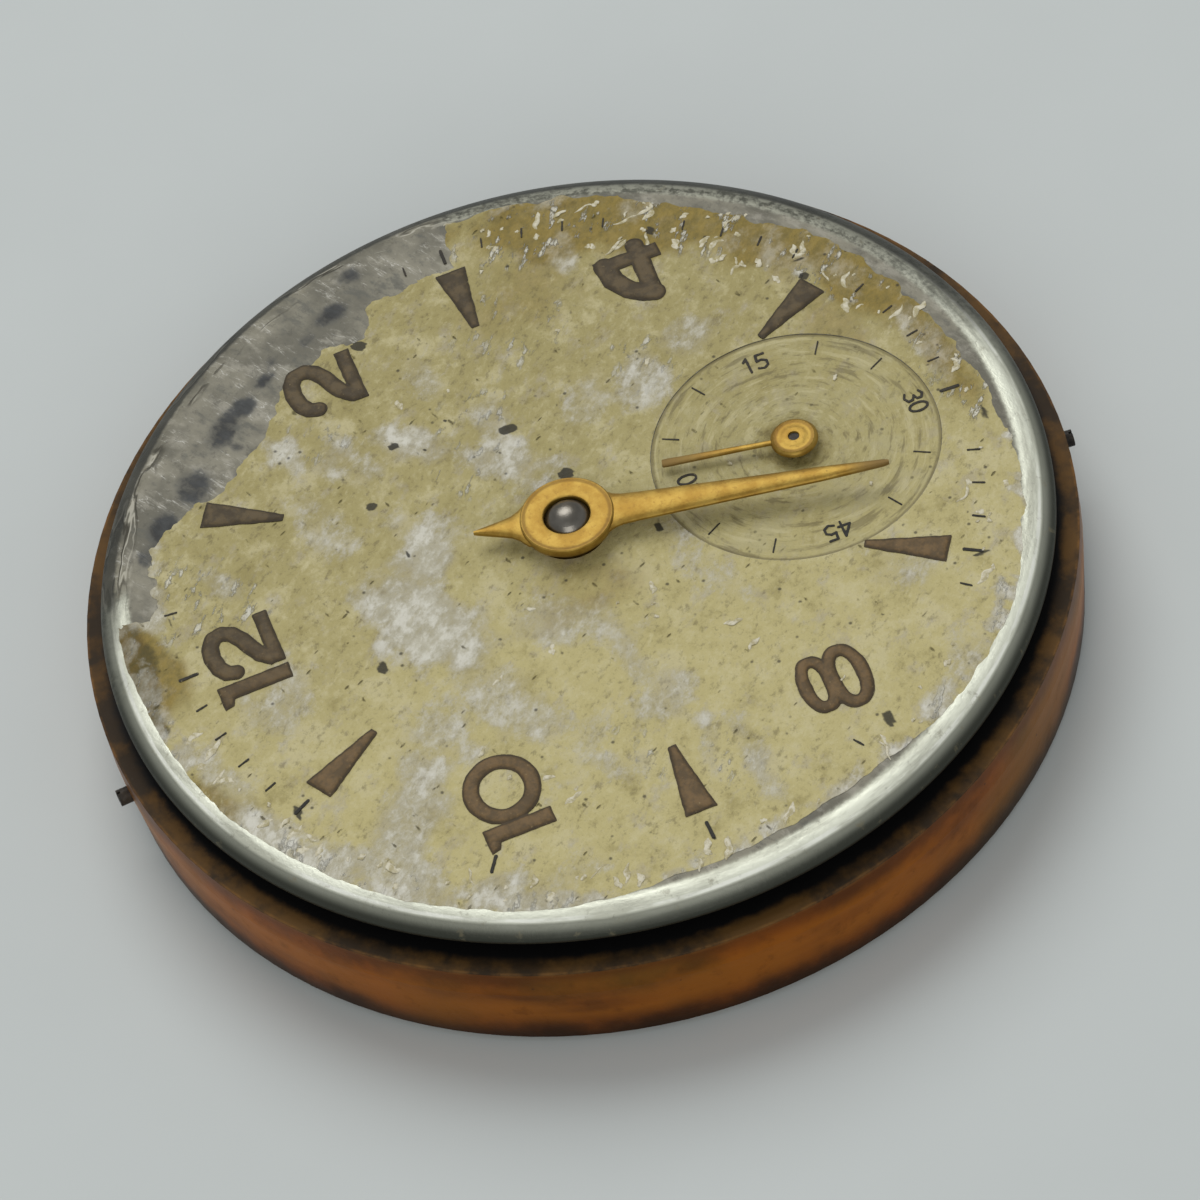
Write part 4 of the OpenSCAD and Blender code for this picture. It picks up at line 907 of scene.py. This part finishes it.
secondsHandShape = {"turn": 13, "low": 5.285, "high": 5.37, "crown": 0.03, "rise": 0.0,
                    "halfWidths": ((0.3, 0.08), (1.0, 0.08), (2.0, 0.1), (3.0, 0.12), (3.75, 0.138),
                                   (3.87, 0.13), (3.9, 0.1)),
                    "boss": ((0.15, 4.99), (0.15, 5.4), (0.17, 5.45), (0.24, 5.46), (0.36, 5.44), (0.44, 5.42),
                             (0.54, 5.425), (0.6, 5.438), (0.66, 5.41), (0.695, 5.36), (0.7, 5.3), (0.66, 5.24),
                             (0.6, 5.225), (0.3, 5.225), (0.3, 4.99)), "ringAt": 0.55, "browning": (1.6, 4.0)}
# one section across a hand: side, height, and share of the crown
handSection = ((-1.0, 0.0, 0), (-1.0, 0.62, 0), (-0.9, 0.86, 0.15), (-0.66, 1.0, 0.45), (-0.33, 1.0, 0.85),
               (0.0, 1.0, 1.0), (0.33, 1.0, 0.85), (0.66, 1.0, 0.45), (0.9, 0.86, 0.15), (1.0, 0.62, 0),
               (1.0, 0.0, 0), (0.0, 0.0, 0))
giltTones = tones(low=(140, 108, 38), high=(165, 135, 60), shade=(120, 88, 32), ring=(96, 68, 22),
                  dull=(120, 96, 50), mark=(84, 62, 26))


def giltFinish(name, centre, ringAt, browning):
    # worn gilding: brown where the hand's end and edges have tarnished, and painted shade in a ring just inside
    # the boss's raised edge
    f = Finish(name)
    t = giltTones
    coarse, fine = f.noise(0.7, 4, 0.6), f.noise(0.13, 4, 0.6, shift=(3, 3, 3))
    dull = f.soft(f.reach(centre) + coarse.spread(1.2), *browning)
    colour = f.over(
        f.mix(f.soft(coarse, 0.36, 0.64), t["low"], t["high"]),
        (f.soft(fine, 0.54, 0.7) * 0.45, t["shade"]),
        # painted shade: a dark ring just inside the boss's raised edge
        (f.soft(abs(f.reach(centre) - ringAt), 0.09, 0.02) * 0.6, t["ring"]),
        (dull * 0.85, t["dull"]),
        (f.soft(f.grains(0.3), 0.12, 0.05) * f.soft(coarse, 0.5, 0.6) * 0.6, t["mark"]))
    return f.feed(colour=colour, rough=0.4 + coarse * 0.12 + dull * 0.2, metal=0.72 - dull * 0.3,
                  height=fine + coarse, relief=0.008)


def buildHand(name, shape, centre, node, body, finishName):
    out, side = np.array(clock(shape["turn"], 1.0)), np.array(clock(shape["turn"] + 90, 1.0))
    stations, low, thick = shape["halfWidths"], shape["low"], shape["high"] - shape["low"]
    places = []
    for (a, wa), (b, wb) in zip(stations[:-1], stations[1:]):
        parts = max(1, int(round((b - a) / 0.3)))
        places += [(a + (b - a) * k / parts, wa + (wb - wa) * k / parts) for k in range(parts)]
    places.append(stations[-1])
    points, faces = [], []
    for along, half in places:
        crown = shape["crown"] * min(1.0, half / 0.3)
        for across, up, share in handSection:
            z = low + thick * up + crown * share + shape["rise"] * max(0, along)
            points.append((*(np.array(centre) + out * along + side * across * half), z))
    n, last = len(handSection), len(points) - len(handSection)
    for start in range(0, last, n):
        for m in range(n):
            a, b = start + m, start + (m + 1) % n
            faces.append([a, b, b + n, a + n])
    faces += [list(range(n))[::-1], list(range(last, last + n))]
    material = giltFinish(finishName, centre, shape["ringAt"], shape["browning"])
    hand = newPiece(name, points, faces, body, material, None, 35)
    cut(hand, [rod(shape["boss"][0][0] + 0.02, 4.9, 6.2, centre, 64)])
    cut(hand, [lathe(shape["boss"], centre, 96)], "UNION")
    shadeSharp(hand.data, 32)
    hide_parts(node)


def buildHands():
    buildHand("minuteHandGilt", minuteHandShape, (0, 0), "minute_hand", "centre", "minuteHandGilding")
    buildHand("secondsHandGilt", secondsHandShape, dialShape["secondsAt"], "seconds_hand", "fourth",
              "secondsHandGilding")
    print("hands made")


# Finishes of the metal parts that keep their CAD shape

metalTones = tones(stain=(112, 98, 80), ring=(116, 114, 110), brassSpot=(84, 60, 30), blue=(44, 54, 104),
                   blueLight=(70, 88, 150), blueWorn=(96, 84, 92), ruby=(150, 22, 56), rubyLight=(198, 48, 84),
                   black=(26, 24, 21), blackLight=(62, 54, 44))


def middleOf(node):
    low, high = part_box(node)
    return ((low.x + high.x) / 2 / mm, (low.y + high.y) / 2 / mm)


def turnedRings(f, centre, tight, wander):
    # fine rings left by turning, -1 to 1
    return f.node("ShaderNodeMath", {"operation": "SINE"}, {0: f.reach(centre) * tight + wander * 4})


def steelFinish(name, centre=None, base=(168, 168, 166), rough=0.3):
    # brushed steel, or turned steel where a centre is given
    f = Finish(name)
    coarse, fine = f.noise(0.9, 4), f.noise(0.1, 3, shift=(4, 1, 2))
    colour = f.over(
        f.mix(f.soft(coarse, 0.35, 0.7), tone(*base), tone(*(min(255, c + 26) for c in base))),
        (f.soft(coarse, 0.4, 0.2) * 0.5, metalTones["stain"]))
    if centre:
        rings = turnedRings(f, centre, 90, coarse)
        height = fine * 0.6 + rings * 0.5
        colour = f.mix(f.soft(rings, 0.0, 1.0) * 0.16, colour, metalTones["ring"])
    else:
        height = fine * 0.6 + f.noise(0.12, 3, 0.6, stretch=(0.12, 1.0, 1.0)) * 0.6
    return f.feed(colour=colour, rough=rough + coarse * 0.12, metal=1.0 - f.soft(coarse, 0.36, 0.2) * 0.4,
                  height=height, relief=0.006)


def brassFinish(name, centre=None, base=(206, 170, 96), dark=(162, 126, 64), rough=0.32, frosted=False):
    f = Finish(name)
    coarse, fine = f.noise(1.6, 5, 0.6), f.noise(0.07 if frosted else 0.12, 2, shift=(6, 2, 1))
    spots = f.soft(f.grains(1.1), 0.2, 0.06) * f.soft(f.noise(2.4, 2, shift=(9, 3, 0)), 0.5, 0.6)
    colour = f.over(
        f.mix(f.soft(coarse, 0.3, 0.62), tone(*dark), tone(*base)),
        (spots * 0.5, metalTones["brassSpot"]))
    height = fine * 0.8
    if centre:
        rings = turnedRings(f, centre, 70, coarse)
        height = height + rings * 0.5
        colour = f.mix(f.soft(rings, 0.0, 1.0) * 0.14, colour, tone(*dark))
    return f.feed(colour=colour, rough=rough + coarse * 0.16 + spots * 0.15, metal=0.96 - spots * 0.3,
                  height=height, relief=0.012 if frosted else 0.006)


def blueFinish(name):
    f = Finish(name)
    t = metalTones
    coarse, fine = f.noise(0.8, 4), f.noise(0.09, 2, shift=(1, 5, 2))
    colour = f.over(
        f.mix(f.soft(coarse, 0.36, 0.66), t["blue"], t["blueLight"]),
        (f.soft(fine, 0.62, 0.75) * 0.35, t["blueWorn"]))
    return f.feed(colour=colour, rough=0.22 + coarse * 0.14, metal=1.0 - f.soft(fine, 0.7, 0.8) * 0.3,
                  height=fine, relief=0.004)


def rubyFinish(name):
    f = Finish(name, {"Transmission Weight": 0.35, "IOR": 1.76})
    swirl = f.noise(0.5, 3)
    colour = f.mix(f.soft(swirl, 0.35, 0.65), metalTones["ruby"], metalTones["rubyLight"])
    return f.feed(colour=colour, rough=0.06 + swirl * 0.05, height=swirl, relief=0.002)


def blackFinish(name):
    f = Finish(name)
    coarse, fine = f.noise(0.5, 4), f.noise(0.1, 3)
    colour = f.mix(f.soft(coarse, 0.4, 0.66), metalTones["black"], metalTones["blackLight"])
    return f.feed(colour=colour, rough=0.42 + coarse * 0.2, metal=0.6 - coarse * 0.2, height=coarse + fine,
                  relief=0.02)


plateTones = tones(copper=(158, 86, 20), orange=(190, 114, 28), brown=(100, 54, 14), olive=(124, 92, 32),
                   lowerEdge=(54, 32, 10), ledge=(88, 62, 26), ledgeDark=(44, 32, 16), gap=(3, 3, 3),
                   edge=(150, 104, 52), inner=(178, 142, 78), innerDark=(148, 114, 60), crust=(24, 20, 15),
                   red=(128, 66, 34))


def plateFinish(name):
    # copper-toned wall, darker at its foot and top, with a painted highlight along its top corner, a dark ledge
    # with near-black painted shadow under the dial, and brass inside
    f = Finish(name, {"Specular IOR Level": 0.25})
    t = plateTones
    r, height, across = f.reach((0, 0)), f.part("Z"), f.part("X")
    blots = f.noise(2.6, 5, 0.6, stretch=(1, 1, 0.9))
    bands = f.noise(1.4, 2, 0.5, stretch=(0.2, 0.2, 1.0), shift=(3, 3, 1))
    broad, fine = f.noise(9.0, 2, shift=(12, 5, 0)), f.noise(0.16, 4, 0.62, shift=(8, 1, 6))
    worn = f.noise(0.7, 6, 0.66, shift=(2, 7, 3))
    middle = f.soft(height, 0.7, 1.7) * f.soft(height, 3.3, 2.3)
    reddened = f.soft(across + broad.spread(8), 2.0, 9.0) * f.soft(worn, 0.4, 0.6)
    specks = f.soft(f.grains(0.6), 0.1, 0.04) * f.soft(f.noise(1.4, 2, shift=(2, 2, 9)), 0.56, 0.62)
    wall = f.over(
        f.mix(f.soft(blots, 0.34, 0.66), t["brown"], t["copper"]),
        (middle * f.soft(bands, 0.25, 0.55) * 0.75, t["orange"]),
        (f.soft(broad, 0.5, 0.64) * 0.5, t["olive"]),
        (reddened * 0.7, t["red"]),
        (f.soft(worn, 0.54, 0.72) * 0.35, t["brown"]),
        (f.soft(height + blots.spread(0.5), 1.2, 0.25) * 0.9, t["lowerEdge"]),
        (f.soft(height + bands.spread(0.5), 2.9, 3.5) * 0.7, t["brown"]),
        (specks * 0.8, t["crust"]))
    ledge = f.over(
        f.mix(f.soft(blots + worn.spread(0.4), 0.38, 0.64), t["ledgeDark"], t["ledge"]),
        # painted shadow: near-black on the ledge where it lies under the dial's rim
        (f.soft(r + worn.spread(0.4), 14.25, 13.95), t["gap"]))
    top = f.soft(height + fine.spread(0.05), 3.53, 3.58)
    # painted highlight: a lighter line along the wall's top corner
    corner = f.soft(r, 14.5, 14.57) * f.soft(height, 3.42, 3.52)
    colour = f.over(
        f.mix(f.soft(blots, 0.3, 0.6), t["innerDark"], t["inner"]),
        (f.soft(r + fine.spread(0.06), 14.3, 14.36), wall),
        (top * f.soft(r, 13.0, 13.2), ledge),
        (corner * f.soft(worn, 0.38, 0.66) * 0.3, t["edge"]))
    return f.feed(colour=colour, rough=0.34 + worn * 0.16 + top * 0.25, metal=0.85 - top * 0.6 - specks * 0.4,
                  height=fine * 0.4 + worn * 0.6 + blots * f.soft(r, 14.2, 14.4), relief=0.012)


# nodes that pieces of this script replace whole, so they need no finish
replacedNodes = ("dial", "minute_hand", "seconds_hand")
springSteelTone = (132, 134, 138)


def dressNodes():
    # a finish for each CAD node: its own, or else the one of its material slot
    shared = {"bridge_gilt": brassFinish("frostedGilding", None, (218, 184, 114), (188, 152, 90), 0.42, True),
              "steel": steelFinish("brushedSteel"), "blued_steel": blueFinish("bluedSteel"),
              "spring_steel": steelFinish("springSteel", None, springSteelTone, 0.34),
              "ruby": rubyFinish("ruby")}
    gilt = lambda node: brassFinish(node + "Gilding", middleOf(node), (220, 184, 104), (180, 142, 74))
    plain = lambda node: brassFinish(node + "Brass", middleOf(node))
    turned = lambda node: steelFinish(node + "Steel", middleOf(node))
    dark = lambda node: steelFinish(node + "DarkSteel", None, (104, 100, 92), 0.26)
    # painted shade: the cannon pinion's dark steel stands for the shaded gap round the arbor's tip in the minute
    # hand's hole, and the fourth pinion's dulled black steel for the shaded hole in the seconds hand's boss
    own = {"main_plate": lambda node: plateFinish("copperPlate"), "centre_pinion": dark, "cannon_pinion": dark,
           "dial_foot_screws": lambda node: blackFinish("blackenedSteel"),
           "fourth_pinion": lambda node: blackFinish("dulledSteel"), "ratchet_wheel": turned,
           "crown_wheel": turned, "setting_wheel": turned, "barrel_drum": plain, "barrel_cover": plain}
    ownBySlot = {"gilt_brass": gilt, "brass": plain}
    slots = {part["node"]: part["material_slot"] for part in frame["record"]["subparts"]}
    for node, piece in frame["nodes"].items():
        if node in replacedNodes:
            continue
        make = own.get(node) or ownBySlot.get(slots[node])
        material = make(node) if make else shared[slots[node]]
        for slot in piece.material_slots:
            slot.material = material
    print("finishes given to the CAD nodes")


# Leaf springs, each pressing a lever
# each path point is a place in plan and the leaf's width there
springShapes = {
    "click_spring": {"piece": "clickLeafSpring", "lever": "click", "foot": 0.42, "low": 0.32, "high": 0.52,
                     "path": ((-4.5, 10.9, 0.14), (-3.2, 10.55, 0.12), (-1.5, 9.68, 0.1))},
    "yoke_spring": {"piece": "yokeLeafSpring", "lever": "yoke", "foot": 0.4, "low": 3.78, "high": 3.98,
                    "path": ((8.2, 4.9, 0.16), (8.75, 4.3, 0.15), (9.3, 3.3, 0.13), (9.49, 2.2, 0.12))}}
# where along the leaf a bend would start and end; the points worked out from them are not used
springBend = (0.2, 0.97)


def leafMesh(path, marks, low, high):
    # a leaf swept along the path, with a rounded tip
    run = np.linspace(0, marks[-1], 45)
    middle = np.stack([np.interp(run, marks, path[:, k]) for k in (0, 1)], axis=1)
    half = np.interp(run, marks, path[:, 2]) / 2
    along = np.gradient(middle, axis=0)
    along /= np.linalg.norm(along, axis=1, keepdims=True)
    tip = [math.radians(a) for a in (30, 60, 80)]
    middle = np.concatenate([middle, [middle[-1] + along[-1] * half[-1] * math.sin(a) for a in tip]])
    half = np.concatenate([half, [half[-1] * math.cos(a) for a in tip]])
    along = np.concatenate([along, [along[-1]] * len(tip)])
    across = np.stack([-along[:, 1], along[:, 0]], axis=1) * half[:, None]
    corners = ((1, low), (-1, low), (-1, high), (1, high))
    points = [(*(m + a * side), z) for m, a in zip(middle, across) for side, z in corners]
    last = len(points) - 4
    faces = [[start + m, start + (m + 1) % 4, start + 4 + (m + 1) % 4, start + 4 + m]
             for start in range(0, last, 4) for m in range(4)]
    return points, faces + [[3, 2, 1, 0], [last + m for m in range(4)]]


def buildSprings():
    material = steelFinish("leafSpringSteel", None, springSteelTone, 0.34)
    inset = 0.004
    for node, s in springShapes.items():
        path = np.array(s["path"])
        marks = np.concatenate([[0], np.cumsum(np.hypot(*np.diff(path[:, :2], axis=0).T))])
        points, faces = leafMesh(path, marks, s["low"] + inset, s["high"] - inset)
        spring = newPiece(s["piece"], points, faces, None, material, None, 35)
        cut(spring, [rod(s["foot"], s["low"], s["high"], tuple(path[0, :2]))], "UNION")
        shadeSharp(spring.data, 35)
        start, end = ([np.interp(share * marks[-1], marks, path[:, k]) * mm for k in (0, 1)] + [s["low"] * mm]
                      for share in springBend)
        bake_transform(spring)
        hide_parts(node)
    print("leaf springs made")


# Table, lights and camera

tableShape = {"reach": 700, "tiles": 8, "low": (186, 191, 189), "high": (192, 197, 195)}


def buildTable():
    t = tableShape
    n = t["tiles"] + 1
    spots = np.linspace(-t["reach"], t["reach"], n) * mm
    faces = [[n * i + j, n * i + n + j, n * i + n + 1 + j, n * i + 1 + j]
             for i in range(t["tiles"]) for j in range(t["tiles"])]
    mesh = bpy.data.meshes.new("table")
    mesh.from_pydata([(x, y, 0) for x in spots for y in spots], [], faces)
    f = Finish("tableTop", {"Roughness": 0.62, "Specular IOR Level": 0.25})
    f.feed(colour=f.mix(f.noise(9.0, 3), tone(*t["low"]), tone(*t["high"])))
    mesh.materials.append(f.material)
    table = bpy.data.objects.new("table", mesh)
    scene.collection.objects.link(table)
    print("table made")


lamps = {"window": {"at": (350, -20, 486), "size": 460, "watts": 1.94},
         "front": {"at": (-330, 90, 260), "size": 300, "watts": 0.5}}
room = {"colour": (0.96, 0.98, 1.0, 1.0), "strength": 0.44}


def buildLights():
    for name, light in lamps.items():
        data = bpy.data.lights.new(name, "AREA")
        data.shape = "DISK"
        data.size = light["size"] * mm
        data.energy = light["watts"]
        lamp = bpy.data.objects.new(name, data)
        lamp.location = [c * mm for c in light["at"]]
        lamp.rotation_euler = (-Vector(light["at"])).to_track_quat("-Z", "Y").to_euler()
        scene.collection.objects.link(lamp)
    world = bpy.data.worlds.new("room")
    world.use_nodes = True
    background = world.node_tree.nodes["Background"]
    background.inputs["Color"].default_value = room["colour"]
    background.inputs["Strength"].default_value = room["strength"]
    scene.world = world
    scene.view_settings.view_transform = "Standard"
    print("lights made:", len(lamps))


photoCamera = {"at": (-119.64, 16.75, 149.41), "turn": (38.3458, 9.1685, -109.5068), "lens": 195.55,
               "sensor": 36, "near": 10, "far": 10000}


def buildCamera():
    c = photoCamera
    data = bpy.data.cameras.new("photoCamera")
    data.lens = c["lens"]
    data.sensor_width = c["sensor"]
    data.clip_start = c["near"] * mm
    data.clip_end = c["far"] * mm
    camera = bpy.data.objects.new("photoCamera", data)
    camera.location = [v * mm for v in c["at"]]
    camera.rotation_euler = [math.radians(a) for a in c["turn"]]
    scene.collection.objects.link(camera)
    scene.camera = camera
    print("camera placed")


buildDial()
buildFigures()
buildShreds()
buildHands()
dressNodes()
buildSprings()
buildTable()
buildLights()
buildCamera()
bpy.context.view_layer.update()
